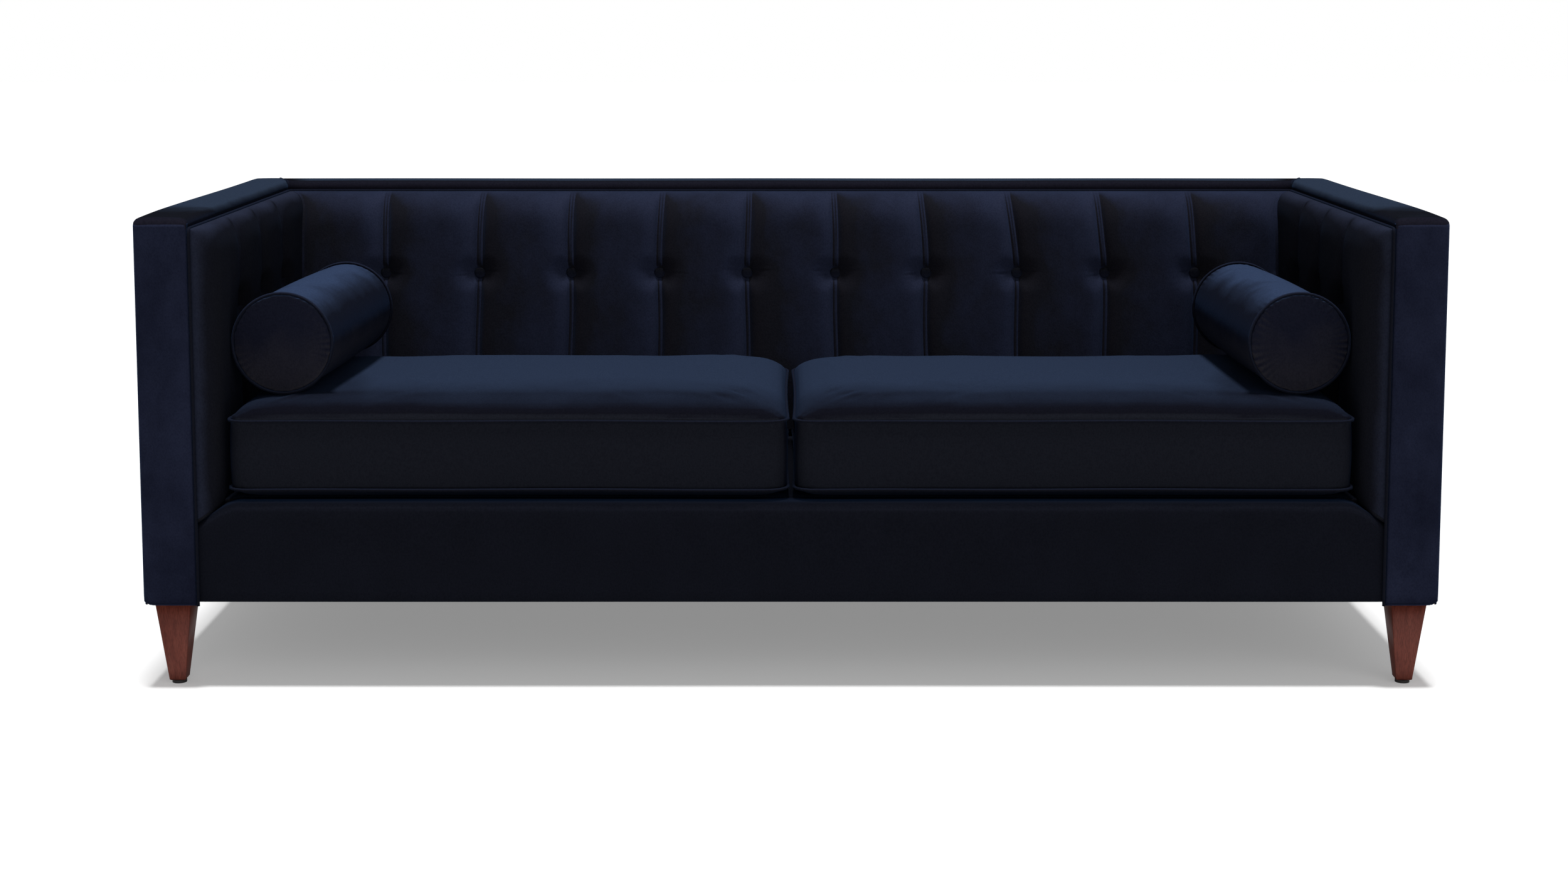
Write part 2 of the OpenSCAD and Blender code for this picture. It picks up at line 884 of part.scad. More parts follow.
module front_rail_cover() {
    low = base_h + cover_lift;
    hollow_d = cover_back - rail_y + overrun;
    color(velvet)
        difference() {
            along_x(-inner_x, inner_x)
                difference() {
                    translate([cover_y, low]) square([cover_back - cover_y, rail_top - low]);
                    translate([cover_y, rail_top]) mirror([0, 1]) corner_cut(cover_r);
                    translate([rail_y, low + cover_wrap])
                        square([hollow_d, rail_wood_top - low - cover_wrap]);
                    translate([rail_y + rail_t, low - overrun])
                        square([hollow_d, rail_wood_top - low + overrun]);
                }
            end_slopes(0);
        }
}

module dust_cover() {
    hole_d = nut_barrel_d + 2 * nut_play;
    color(black)
        difference() {
            block([-frame_out_x, rail_y + rail_t, base_h], [frame_out_x, frame_back_y, frame_z]);
            at_legs()
                translate([0, 0, base_h - overrun])
                    cylinder(d = hole_d, h = dust_t + 2 * overrun);
        }
}

// Seat cushions, in the deck's sloping frame

cushion_d = board_face(rail_top) - back_pad - back_gap - front_y - cushion_setback;
cushion_w = (2 * pad_inner_x - 2 * side_gap - middle_gap) / 2;
cushion_x = middle_gap / 2 + cushion_w / 2;
seat_welt_d = 6;
seat_welt_r = seat_welt_d / 2;
corner_r = 34;                         // the cushion's corners, seen from above
tight_share = 0.33;                    // the least corner radius of an inner ring, of corner_r
draw_in = 4;                           // how far the sides pull in between the corners
boxing_swell = 3;                      // how far the boxing swells between its welts
cushion_total = under_h + boxing_h + crown_h;
body_in = seat_welt_d + fit;           // the cover's seam line inside the welt's outer edge
side_steps = 5;
corner_steps = 4;

// One corner of the outline: points on an arc, then points along the side that follows
function corner_arc(half_x, half_y, r) =
    [for (k = [0 : corner_steps]) let (a = 90 * k / corner_steps)
        [half_x - r + r * cos(a), half_y - r + r * sin(a)]];
function quarter(half_x, half_y, r, turn) =
    let (c = turn % 2 == 0 ? corner_arc(half_x, half_y, r) : corner_arc(half_y, half_x, r))
    [for (p = c) [p[0] * cos(90 * turn) - p[1] * sin(90 * turn),
                  p[0] * sin(90 * turn) + p[1] * cos(90 * turn)]];
function spaced(a, b) = [for (k = [1 : side_steps - 1]) a + (b - a) * k / side_steps];
function plain_outline(half_x, half_y, r) =
    [for (turn = [0 : 3])
        let (
            here = quarter(half_x, half_y, r, turn),
            next = quarter(half_x, half_y, r, (turn + 1) % 4)
        )
        each concat(here, spaced(here[corner_steps], next[0]))];
// The sides pulled in between the corners
function drawn(p, half_x, half_y, pull) =
    let (
        sx = p[0] / half_x,
        sy = p[1] / half_y,
        on_x = abs(sx) > abs(sy) ? 1 : 0
    )
    [p[0] - on_x * sign(sx) * pull * (1 - sy * sy),
     p[1] - (1 - on_x) * sign(sy) * pull * (1 - sx * sx)];
function outline(half_x, half_y, r, pull) =
    [for (p = plain_outline(half_x, half_y, r)) drawn(p, half_x, half_y, pull)];

half_cx = cushion_w / 2 - body_in;
half_cy = cushion_d / 2 - body_in;
// Rings from the underside up: how far in as a share of the half depth, and the height
under_ring_shares = [[0.62, 0], [0.3, 0.02], [0.14, 0.16], [0.05, 0.48]];
crown_ring_shares = [[0.03, 0.34], [0.09, 0.62], [0.19, 0.8], [0.36, 0.92], [0.62, 0.985]];
boxing_ring_shares = [0.5];

function ring_at(inset, z) =
    let (hx = half_cx - inset, hy = half_cy - inset)
    [for (p = outline(hx, hy, max(corner_r - inset, corner_r * tight_share), draw_in)) [p[0], p[1], z]];

cushion_rings = concat(
    [for (u = under_ring_shares) ring_at(u[0] * half_cy, u[1] * under_h)],
    [ring_at(0, under_h)],
    [for (b = boxing_ring_shares) ring_at(-boxing_swell * 4 * b * (1 - b), under_h + b * boxing_h)],
    [ring_at(0, under_h + boxing_h)],
    [for (c = crown_ring_shares) ring_at(c[0] * half_cy, under_h + boxing_h + c[1] * crown_h)]
);

// A closed skin through rings of equal length, with flat or peaked ends
module lofted(rings, low, high) {
    n = len(rings[0]);
    m = len(rings);
    points = concat([for (r = rings) each r], [low, high]);
    bottom = n * m;
    top = bottom + 1;
    faces = concat(
        [for (j = [0 : n - 1]) [bottom, j, (j + 1) % n]],
        [for (k = [0 : m - 2]) for (j = [0 : n - 1])
            [k * n + j, (k + 1) * n + j, (k + 1) * n + (j + 1) % n]],
        [for (k = [0 : m - 2]) for (j = [0 : n - 1])
            [k * n + j, (k + 1) * n + (j + 1) % n, k * n + (j + 1) % n]],
        [for (j = [0 : n - 1]) [top, (m - 1) * n + (j + 1) % n, (m - 1) * n + j]]
    );
    polyhedron(points = points, faces = faces, convexity = 10);
}

wrap_t = 24;                           // cover and fibre wrap round the foam block
wrap_under = 16;

module cushion_place(side) {
    translate([side * cushion_x, 0, 0])
        deck_frame()
            translate([0, front_y + cushion_setback - deck_y + cushion_d / 2, fit])
                children();
}

module foam_block() {
    block([-half_cx + wrap_t, -half_cy + wrap_t, wrap_under],
          [half_cx - wrap_t, half_cy - wrap_t, under_h + boxing_h]);
}

module seat_cushion(side) {
    color(velvet)
        cushion_place(side)
            difference() {
                lofted(cushion_rings, [0, 0, 0], [0, 0, cushion_total]);
                foam_block();
            }
}

module seat_foam(side) {
    color(foam) cushion_place(side) foam_block();
}

module welt_loop(z) {
    hx = half_cx + seat_welt_r + fit;
    hy = half_cy + seat_welt_r + fit;
    path = [for (p = outline(hx, hy, corner_r + seat_welt_r, draw_in)) [p[0], p[1], z]];
    ring_tube(path, seat_welt_d, seat_welt_sides);
}

seat_welt_sides = 5;

// A closed tube round a flat loop
module ring_tube(path, d, sides) {
    n = len(path);
    points = [
        for (k = [0 : n - 1])
            let (
                along = unit(path[(k + 1) % n] - path[(k + n - 1) % n]),
                out = cross(along, [0, 0, 1])
            )
            for (j = [0 : sides - 1])
                path[k] - d / 2 * (out * cos(360 * j / sides) + [0, 0, 1] * sin(360 * j / sides))
    ];
    faces = concat(
        [for (k = [0 : n - 1]) for (j = [0 : sides - 1])
            [k * sides + j, k * sides + (j + 1) % sides, ((k + 1) % n) * sides + (j + 1) % sides]],
        [for (k = [0 : n - 1]) for (j = [0 : sides - 1])
            [k * sides + j, ((k + 1) % n) * sides + (j + 1) % sides, ((k + 1) % n) * sides + j]]
    );
    polyhedron(points = points, faces = faces, convexity = 10);
}

module seat_welts(side) {
    color(velvet_dark)
        cushion_place(side) {
            welt_loop(under_h);
            welt_loop(under_h + boxing_h);
        }
}

// Bolsters, lying on the cushions

bolster_r = bolster_d / 2;
bolster_l = cushion_d + cushion_setback - bolster_setback - bolster_back;
bolster_welt_d = 6;
bolster_welt_r = bolster_welt_d / 2;
seam_r = bolster_r - bolster_welt_d - fit;
barrel = 3;                            // how far a bolster swells between its ends
end_dome = 8;                          // how far a bolster's end swells
bolster_wrap = 6;
rest_gap = 0.5;
bolster_x = pad_inner_x - bolster_r - fit;

// The crown's height above the top welt at a distance in from the seam
function crown_at(inset) = crown_h * lookup(inset / half_cy, concat([[0, 0]], crown_ring_shares, [[1, 1]]));
bolster_inset = half_cx - (bolster_x - cushion_x);
touch_share = 0.25;                    // the bolster touches the crown within this share of its radius
touch_steps = 20;
bolster_up = max([
    for (k = [-touch_steps : touch_steps])
        let (t = touch_share * bolster_r * k / touch_steps)
        crown_at(bolster_inset + t) + sqrt(bolster_r * bolster_r - t * t)
]) + rest_gap;

// A bolster lies along the slope of the seat, its front end against the arm, its back end turned in
module bolster_place(side) {
    turn = side < 0 ? left_turn : right_turn;
    cushion_place(side)
        translate([side * (bolster_x - cushion_x - bolster_l / 2 * sin(turn)),
                   bolster_setback - cushion_setback + (bolster_l - cushion_d) / 2,
                   under_h + boxing_h + bolster_up])
            rotate([0, 0, side * turn])
                rotate([-90, 0, 0])
                    children();
}

dome_steps = 6;
barrel_steps = 4;

module bolster(side) {
    half = bolster_l / 2;
    color(velvet)
        bolster_place(side)
            difference() {
                rotate_extrude()
                    polygon(concat(
                        [for (k = [0 : dome_steps]) let (s = k / dome_steps)
                            [seam_r * s, -half - end_dome * (1 - s * s)]],
                        [for (k = [1 : 2 * barrel_steps - 1]) let (s = k / barrel_steps - 1)
                            [seam_r + barrel * (1 - s * s), half * s]],
                        [for (k = [dome_steps : -1 : 0]) let (s = k / dome_steps)
                            [seam_r * s, half + end_dome * (1 - s * s)]]
                    ));
                bolster_block(fit);
            }
}

module bolster_block(play) {
    cylinder(r = seam_r - bolster_wrap + play, h = bolster_l - 2 * bolster_wrap + 2 * play, center = true);
}

module bolster_core(side) {
    color(foam) bolster_place(side) bolster_block(0);
}

module bolster_welts(side) {
    color(velvet_dark)
        bolster_place(side)
            for (end = [-1, 1])
                translate([0, 0, end * (bolster_l / 2 - bolster_welt_r)])
                    rotate_extrude()
                        translate([seam_r + bolster_welt_r + fit, 0]) circle(r = bolster_welt_r);
}

front_rail();
back_rail();
on_side(-1) side_rail();  // side_rail_left
on_side(1) side_rail();  // side_rail_right
corner_blocks();
on_side(-1) post_front();  // post_front_left
on_side(1) post_front();  // post_front_right
on_side(-1) post_back();  // post_back_left
on_side(1) post_back();  // post_back_right
on_side(-1) arm_board();  // arm_board_left
on_side(1) arm_board();  // arm_board_right
arm_studs();
back_top_board();
back_ribs();
seat_stretchers();
spring_rail_front();
spring_rail_back();
frame_dowels();
seat_springs();
spring_clips();
deck_pad();
deck_cloth();
inside_back_board();
on_side(-1) inside_arm_board();  // inside_arm_board_left
on_side(1) inside_arm_board();  // inside_arm_board_right
inside_back();
on_side(-1) inside_arm();  // inside_arm_left
on_side(1) inside_arm();  // inside_arm_right
tuft_buttons();
band_back();
on_side(-1) band_arm();  // band_arm_left
on_side(1) band_arm();  // band_arm_right
on_side(-1) arm_front();  // arm_front_left
on_side(1) arm_front();  // arm_front_right
arm_welts();
on_side(-1) outside_arm();  // outside_arm_left
on_side(1) outside_arm();  // outside_arm_right
outside_back();
front_rail_cover();
dust_cover();
leg(leg_corners[0]);  // leg_front_left
leg(leg_corners[1]);  // leg_front_right
leg(leg_corners[2]);  // leg_back_left
leg(leg_corners[3]);  // leg_back_right
leg_bolts();
leg_tee_nuts();
glides();
seat_cushion(-1);  // seat_cushion_left
seat_cushion(1);  // seat_cushion_right
seat_foam(-1);  // seat_foam_left
seat_foam(1);  // seat_foam_right
seat_welts(-1);  // seat_welts_left
seat_welts(1);  // seat_welts_right
bolster(-1);  // bolster_left
bolster(1);  // bolster_right
bolster_core(-1);  // bolster_core_left
bolster_core(1);  // bolster_core_right
bolster_welts(-1);  // bolster_welts_left
bolster_welts(1);  // bolster_welts_right
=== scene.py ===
import math

import bmesh
import bpy
import numpy as np
from mathutils import Matrix, Vector


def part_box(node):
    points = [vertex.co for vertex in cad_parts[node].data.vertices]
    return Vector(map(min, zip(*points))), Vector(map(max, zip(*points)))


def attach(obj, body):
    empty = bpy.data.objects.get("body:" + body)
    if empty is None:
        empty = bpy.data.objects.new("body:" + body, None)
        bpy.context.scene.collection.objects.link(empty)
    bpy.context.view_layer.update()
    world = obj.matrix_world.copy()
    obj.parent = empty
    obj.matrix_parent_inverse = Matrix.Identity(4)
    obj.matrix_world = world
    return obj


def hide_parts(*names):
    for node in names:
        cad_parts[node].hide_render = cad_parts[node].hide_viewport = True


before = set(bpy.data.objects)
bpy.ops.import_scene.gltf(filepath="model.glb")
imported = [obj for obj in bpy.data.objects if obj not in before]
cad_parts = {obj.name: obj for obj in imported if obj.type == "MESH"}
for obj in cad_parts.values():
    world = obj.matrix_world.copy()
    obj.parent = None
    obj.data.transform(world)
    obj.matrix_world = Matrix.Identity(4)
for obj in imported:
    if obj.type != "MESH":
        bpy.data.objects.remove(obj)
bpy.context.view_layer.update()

scene = bpy.context.scene
mm = 0.001

# The studio
# A plain white floor that keeps the sofa's shadow, under one soft light from straight overhead and
# a weaker one from the front. The camera stands where the photograph was taken.
scene.view_settings.view_transform = "Standard"
view = bpy.data.cameras.new("camera")
view.sensor_width = 36
view.lens = 52.79
view.shift_y = -0.12
camera = bpy.data.objects.new("camera", view)
camera.location = (-0.0116, -4.132, 1.122)
camera.rotation_euler = (math.radians(90 - 6.12), 0, 0)
scene.collection.objects.link(camera)
scene.camera = camera


def soft_sun(name, strength, spread, towards):
    """A lamp far away whose light goes towards a direction."""
    lamp = bpy.data.lights.new(name, "SUN")
    lamp.energy = strength
    lamp.angle = math.radians(spread)
    holder = bpy.data.objects.new(name, lamp)
    holder.rotation_euler = Vector(towards).to_track_quat("-Z", "Y").to_euler()
    scene.collection.objects.link(holder)


def math_of(tree, operation, *values):
    """What a Math node gives. Each of the values is a socket to link or a number."""
    node = tree.nodes.new("ShaderNodeMath")
    node.operation = operation
    for socket, value in zip(node.inputs, values):
        if isinstance(value, bpy.types.NodeSocket):
            tree.links.new(value, socket)
        else:
            socket.default_value = value
    return node.outputs[0]


def ranged(tree, share, *limits, kind="LINEAR"):
    """A share brought from one range into another. The limits are those of both."""
    node = tree.nodes.new("ShaderNodeMapRange")
    node.interpolation_type = kind
    tree.links.new(share, node.inputs["Value"])
    for socket, limit in zip(("From Min", "From Max", "To Min", "To Max"), limits):
        node.inputs[socket].default_value = limit
    return node.outputs["Result"]


soft_sun("overhead_light", 3.0, 9, (-0.01, 0.05, -1))
soft_sun("front_light", 0.56, 60, (-0.32, 0.86, -0.34))

room_light = 0.22  # what the white room gives to the cloth
world = bpy.data.worlds.new("white_room")
world.use_nodes = True
scene.world = world
room = world.node_tree
ray = room.nodes.new("ShaderNodeLightPath").outputs
mirrored = math_of(room, "MAXIMUM", ray["Is Glossy Ray"], ray["Is Transmission Ray"])
seen = math_of(room, "MAXIMUM", ray["Is Camera Ray"], mirrored)
backdrop = room.nodes["Background"].inputs
backdrop["Color"].default_value = (1, 1, 1, 1)
room.links.new(ranged(room, seen, 0, 1, room_light, 1.0), backdrop["Strength"])

floor_lift = 0.25  # brings the lit floor up to the white of the backdrop
floor_bm = bmesh.new()
bmesh.ops.create_grid(floor_bm, x_segments=2, y_segments=2, size=30)
floor_mesh = bpy.data.meshes.new("floor")
floor_bm.to_mesh(floor_mesh)
floor = bpy.data.objects.new("floor", floor_mesh)
scene.collection.objects.link(floor)
floor_paint = bpy.data.materials.new("floor_paint")
floor_paint.use_nodes = True
paint = floor_paint.node_tree
chalk = paint.nodes["Principled BSDF"].inputs
chalk["Roughness"].default_value = 1.0
chalk["Specular IOR Level"].default_value = 0.0
chalk["Base Color"].default_value = (0.8, 0.8, 0.8, 1)
chalk["Emission Color"].default_value = (1, 1, 1, 1)
floor_ray = paint.nodes.new("ShaderNodeLightPath").outputs["Is Camera Ray"]
paint.links.new(math_of(paint, "MULTIPLY", floor_ray, floor_lift), chalk["Emission Strength"])
floor_mesh.materials.append(floor_paint)


# The timber frame
# Kiln-dried hardwood rails, posts and studs, dowelled and glued, with corner blocks. Plywood
# makes the top boards, the ribs and the boards behind the padding. The covers hide all of it.
def finish_of(name, roughness, specular):
    """A new material, with its node tree, its shader and its Object coordinates."""
    material = bpy.data.materials.new(name)
    material.use_nodes = True
    tree = material.node_tree
    shader = tree.nodes["Principled BSDF"]
    shader.inputs["Roughness"].default_value = roughness
    shader.inputs["Specular IOR Level"].default_value = specular
    return material, tree, shader, tree.nodes.new("ShaderNodeTexCoord").outputs["Object"]


def cloudy(tree, place, sizes, detail, rough=0.5):
    """Noise from 0 to 1 whose marks have the given sizes along X, Y and Z, in metres."""
    mapping = tree.nodes.new("ShaderNodeMapping")
    mapping.inputs["Scale"].default_value = [1 / size for size in sizes]
    noise = tree.nodes.new("ShaderNodeTexNoise")
    noise.inputs["Scale"].default_value = 1.0
    noise.inputs["Detail"].default_value = detail
    noise.inputs["Roughness"].default_value = rough
    tree.links.new(place, mapping.inputs["Vector"])
    tree.links.new(mapping.outputs["Vector"], noise.inputs["Vector"])
    return noise.outputs["Fac"]


def ramped(tree, share, stops):
    """A colour that follows a share through (place, colour) stops."""
    ramp = tree.nodes.new("ShaderNodeValToRGB")
    scale = ramp.color_ramp
    while len(scale.elements) < len(stops):
        scale.elements.new(0.5)
    for element, (place, colour) in zip(scale.elements, stops):
        element.position = place
        element.color = (*colour, 1)
    tree.links.new(share, ramp.inputs["Fac"])
    return ramp.outputs["Color"]


def multiplied(tree, first, second):
    """Two colours multiplied."""
    mix = tree.nodes.new("ShaderNodeMix")
    mix.data_type = "RGBA"
    mix.blend_type = "MULTIPLY"
    mix.inputs["Factor"].default_value = 1.0
    tree.links.new(first, mix.inputs[6])
    tree.links.new(second, mix.inputs[7])
    return mix.outputs[2]


def raised(tree, shader, *layers):
    """Bump from (height, metres) layers, on top of one another."""
    normal = None
    for height, distance in layers:
        bump = tree.nodes.new("ShaderNodeBump")
        bump.inputs["Distance"].default_value = distance
        tree.links.new(height, bump.inputs["Height"])
        if normal:
            tree.links.new(normal, bump.inputs["Normal"])
        normal = bump.outputs["Normal"]
    tree.links.new(normal, shader.inputs["Normal"])


def speckled(name, colour, sizes, detail, dim, share, height, roughness, specular, metallic=0.0):
    """A finish with fine marks, which dim the colour below a share and stand up to a height."""
    material, tree, shader, place = finish_of(name, roughness, specular)
    shader.inputs["Metallic"].default_value = metallic
    marks = cloudy(tree, place, sizes, detail)
    shades = [(0.3, [c * dim for c in colour]), (share, colour)]
    tree.links.new(ramped(tree, marks, shades), shader.inputs["Base Color"])
    raised(tree, shader, (marks, height))
    return material


def timber(name, dark, light, lengths):
    """Wood whose grain runs along the axis with the greatest of the three lengths."""
    material, tree, shader, place = finish_of(name, 0.62, 0.3)
    streaks = cloudy(tree, place, lengths, 6.0)
    pores = cloudy(tree, place, [size / 6 for size in lengths], 2.0)
    colour = ramped(tree, streaks, [(0.3, dark), (0.7, light)])
    shade = ramped(tree, pores, [(0.35, (0.82, 0.80, 0.78)), (0.6, (1, 1, 1))])
    tree.links.new(multiplied(tree, colour, shade), shader.inputs["Base Color"])
    raised(tree, shader, (pores, 0.3 * mm))
    return material


def dressed(material, *names):
    """CAD nodes that keep their shape and get a finish."""
    for name in names:
        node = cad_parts[name]
        if not node.material_slots:
            node.data.materials.append(material)
        node.material_slots[0].material = material


woods = {"hardwood": ((0.42, 0.27, 0.14), (0.62, 0.44, 0.26)),
         "plywood": ((0.50, 0.36, 0.20), (0.70, 0.54, 0.34))}
for wood, axis, nodes in (
        ("hardwood", "x", "front_rail back_rail spring_rail_front spring_rail_back frame_dowels"),
        ("hardwood", "y", "side_rail_left side_rail_right seat_stretchers corner_blocks"),
        ("hardwood", "z", "post_front_left post_front_right post_back_left post_back_right "
                          "arm_studs"),
        ("plywood", "x", "back_top_board inside_back_board"),
        ("plywood", "y", "arm_board_left arm_board_right inside_arm_board_left "
                         "inside_arm_board_right"),
        ("plywood", "z", "back_ribs")):
    lengths = [0.3 if each == axis else 0.02 for each in "xyz"]
    dressed(timber(f"{wood}_{axis}", *woods[wood], lengths), *nodes.split())

# Springs, clips, bolts and tee nuts
# Zigzag springs of hard drawn wire, clipped to the spring rails, and the zinc-plated bolts and
# nuts that hold the legs. The steel is faintly clouded.
dressed(speckled("spring_steel", (0.42, 0.42, 0.43), [10 * mm] * 3, 3.0, 0.8, 0.7, 0.05 * mm,
                 0.42, 0.5, 1.0), "seat_springs", "spring_clips")
dressed(speckled("zinc_plate", (0.62, 0.62, 0.60), [10 * mm] * 3, 3.0, 0.8, 0.7, 0.05 * mm,
                 0.34, 0.5, 1.0), "leg_bolts", "leg_tee_nuts")

# Foam blocks and bolster cores
# Cream polyurethane foam with fine open cells, cut to shape. The covers hide it.
dressed(speckled("cream_foam", (0.74, 0.68, 0.46), [1.5 * mm] * 3, 2.0, 0.75, 0.6,
                 0.4 * mm, 0.95, 0.1),
        "seat_foam_left", "seat_foam_right", "bolster_core_left", "bolster_core_right")

# Dust cover
# Thin black cloth of pressed fibres, stapled under the frame.
dressed(speckled("black_spun_cloth", (0.020, 0.020, 0.022), (0.004, 0.0012, 0.004), 3.0, 0.7, 0.7,
                 0.2 * mm, 0.9, 0.2), "dust_cover")


# Legs
# Four square legs of solid wood, tapered on all sides, stained red-brown and lacquered to a
# satin finish. Each hangs from a bolt. The edges are eased and the foot is slightly rounded.
def piece(name, bm, material, body="frame", nodes=None):
    """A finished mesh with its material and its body. It stands for the CAD nodes that
    are given, or else for the one of its own name."""
    mesh = bpy.data.meshes.new(name)
    bmesh.ops.recalc_face_normals(bm, faces=bm.faces)
    bm.to_mesh(mesh)
    bm.free()
    mesh.shade_smooth()
    mesh.materials.append(material)
    made = bpy.data.objects.new(name, mesh)
    scene.collection.objects.link(made)
    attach(made, body)
    nodes = [name] if nodes is None else nodes
    if nodes:
        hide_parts(*nodes)
    return made


def block(low, high):
    """A plain block between two corners."""
    bm = bmesh.new()
    bmesh.ops.create_cube(bm, size=1)
    low, high = Vector(low), Vector(high)
    bmesh.ops.scale(bm, vec=high - low, verts=bm.verts)
    bmesh.ops.translate(bm, vec=(low + high) / 2, verts=bm.verts)
    return bm


def rounded(bm, radius, segments, wanted):
    """Rounds the edges whose middle and direction the test accepts."""
    edges = [e for e in bm.edges
             if wanted((e.verts[0].co + e.verts[1].co) / 2,
                       (e.verts[1].co - e.verts[0].co).normalized())]
    bmesh.ops.bevel(bm, geom=edges, offset=radius, offset_type="OFFSET", affect="EDGES",
                    segments=segments, profile=0.5, material=-1)


leg_stain, tree, shader, place = finish_of("red_brown_stain", 0.45, 0.16)
shader.inputs["Coat Weight"].default_value = 0.08
shader.inputs["Coat Roughness"].default_value = 0.35
streaks = cloudy(tree, place, (0.007, 0.007, 0.16), 5.0)
pores = cloudy(tree, place, (0.0012, 0.0012, 0.02), 2.0)
patches = cloudy(tree, place, (0.05, 0.05, 0.09), 2.0)
stain = ramped(tree, streaks, [(0.25, (0.105, 0.022, 0.014)), (0.5, (0.145, 0.033, 0.021)),
                               (0.8, (0.175, 0.046, 0.030))])
depth = ramped(tree, pores, [(0.38, (0.72, 0.68, 0.66)), (0.55, (1, 1, 1))])
cloud = ramped(tree, patches, [(0.3, (0.86, 0.84, 0.84)), (0.7, (1.08, 1.08, 1.08))])
tree.links.new(multiplied(tree, multiplied(tree, stain, depth), cloud), shader.inputs["Base Color"])
raised(tree, shader, (pores, 0.08 * mm), (streaks, 0.1 * mm))
foot_share = 27 / 59  # the foot's width, of the width at the top
foot_ease, edge_ease = 4.5 * mm, 1.6 * mm
for corner in ("front_left", "front_right", "back_left", "back_right"):
    low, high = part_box("leg_" + corner)
    leg = block(low, high)
    middle = (low + high) / 2
    for vert in leg.verts:
        if vert.co.z < middle.z:
            vert.co.x = middle.x + (vert.co.x - middle.x) * foot_share
            vert.co.y = middle.y + (vert.co.y - middle.y) * foot_share
    rounded(leg, foot_ease, 4, lambda at, along: at.z < low.z + mm)
    rounded(leg, edge_ease, 3,
            lambda at, along: abs(along.z) > 0.9 and at.z > low.z + 20 * mm)
    piece("leg_" + corner, leg, leg_stain)


# Glides
# A round nail-on glide under each leg, moulded in black plastic with a fine matt grain.
dressed(speckled("black_plastic", (0.018, 0.016, 0.016), [mm] * 3, 2.0, 0.8, 0.7,
                 0.05 * mm, 0.5, 0.4), "glides")


# The velvet
# Dark navy velvet with a short dense pile. Facing the eye it is almost black, and at a slant it
# shows blue. Its colour is also painted lighter where the cloth faces one set way, mostly up, and
# darker where it faces away: painted light and shade. A painted shade darkens the front of the seat
# cushions and arm bands, and random patches vary the tone.
def velvet(name, sheen, painted_light_way, *shades, patchy=1.0, painted_front_shade=None, beside=None):
    """Pile cloth whose colour holds painted light and shade. The colour goes through the shades, in
    thousandths, as the cloth turns from facing away from the painted light's way, -1, to facing
    along it, 1. The painted front shade: a painted shade in front of one place along Y, which fades
    to another. Beside: the distances from the middle between which that painted shade comes to
    reach further back, as a painted shadow."""
    material, tree, shader, place = finish_of(name, 0.85, 0.0)
    shader.inputs["Sheen Weight"].default_value = sheen
    shader.inputs["Sheen Roughness"].default_value = 0.40
    shader.inputs["Sheen Tint"].default_value = (0.17, 0.36, 0.85, 1)
    nap = cloudy(tree, place, (0.085, 0.085, 0.12), 4.5, rough=0.62)
    grain = cloudy(tree, place, (0.0026, 0.0026, 0.0034), 2.0)
    fibres = cloudy(tree, place, (0.0007, 0.0007, 0.0009), 1.5)
    # Painted light and shade: the colour follows how far the cloth faces the painted light's way
    facing = tree.nodes.new("ShaderNodeVectorMath")
    facing.operation = "DOT_PRODUCT"
    facing.inputs[1].default_value = Vector(painted_light_way).normalized()
    tree.links.new(place.node.outputs["Normal"], facing.inputs[0])
    drift = 0.16 * patchy
    turned = math_of(tree, "MULTIPLY_ADD", facing.outputs["Value"], 0.5, 0.5 - drift / 2)
    turned = math_of(tree, "MULTIPLY_ADD", nap, drift, turned)
    # Painted shade: the colour is darkened in front of a place along Y
    if painted_front_shade:
        apart = tree.nodes.new("ShaderNodeSeparateXYZ")
        tree.links.new(place, apart.inputs[0])
        behind = apart.outputs["Y"]
        # Painted shadow: near the outer ends, where the bolsters lie, that painted shade reaches
        # further back
        if beside:
            off = math_of(tree, "ABSOLUTE", apart.outputs["X"])
            behind = math_of(tree, "ADD", behind, ranged(tree, off, *beside, 0.0, -0.8))
        start, end, shift = painted_front_shade
        wander = 0.06
        behind = math_of(tree, "MULTIPLY_ADD", nap, wander, behind)
        fade = ranged(tree, behind, start + wander / 2, end + wander / 2, shift, 0.0,
                      kind="SMOOTHSTEP")
        turned = math_of(tree, "ADD", turned, fade)
    stops = [((at + 1) / 2, [c / 1000 for c in colour]) for at, *colour in shades]
    base = ramped(tree, turned, stops)
    specks = ramped(tree, grain, [(0.30, (0.76, 0.76, 0.78)), (0.62, (1.0, 1.0, 1.0))])
    tree.links.new(multiplied(tree, base, specks), shader.inputs["Base Color"])
    raised(tree, shader, (nap, 1.2 * min(patchy, 1.5) * mm), (grain, 0.25 * mm),
           (fibres, 0.12 * mm))
    return material


# Painted light and shade for the velvets below: each is painted lighter where it faces its way and
# darker where it faces away
up, along_right, along_back = (0, 0, 1), (0.97, 0, 0.22), (0, 0.95, 0.3)
face_velvet = velvet("velvet_face", 0.08, up, (-0.35, 5.4, 5.9, 8.7), (0.35, 8.2, 9.2, 14.5),
                     (0.85, 4.8, 5.4, 8.6), patchy=1.8)
panel_velvet = velvet("velvet_panel", 0.15, up, (-0.24, 6.6, 7.8, 16.5), (0.24, 17, 20.6, 42),
                      patchy=2.6)
# Painted shade over the front of the arm bands
band_velvet = velvet("velvet_band", 0.03, along_back, (-0.9, 12, 11.6, 19.2),
                     (-0.25, 9.8, 10.2, 17.2), (0.04, 6.6, 6.6, 8.2), (0.285, 22.8, 34, 58),
                     patchy=0.6, painted_front_shade=(-0.36, -0.18, -0.12))
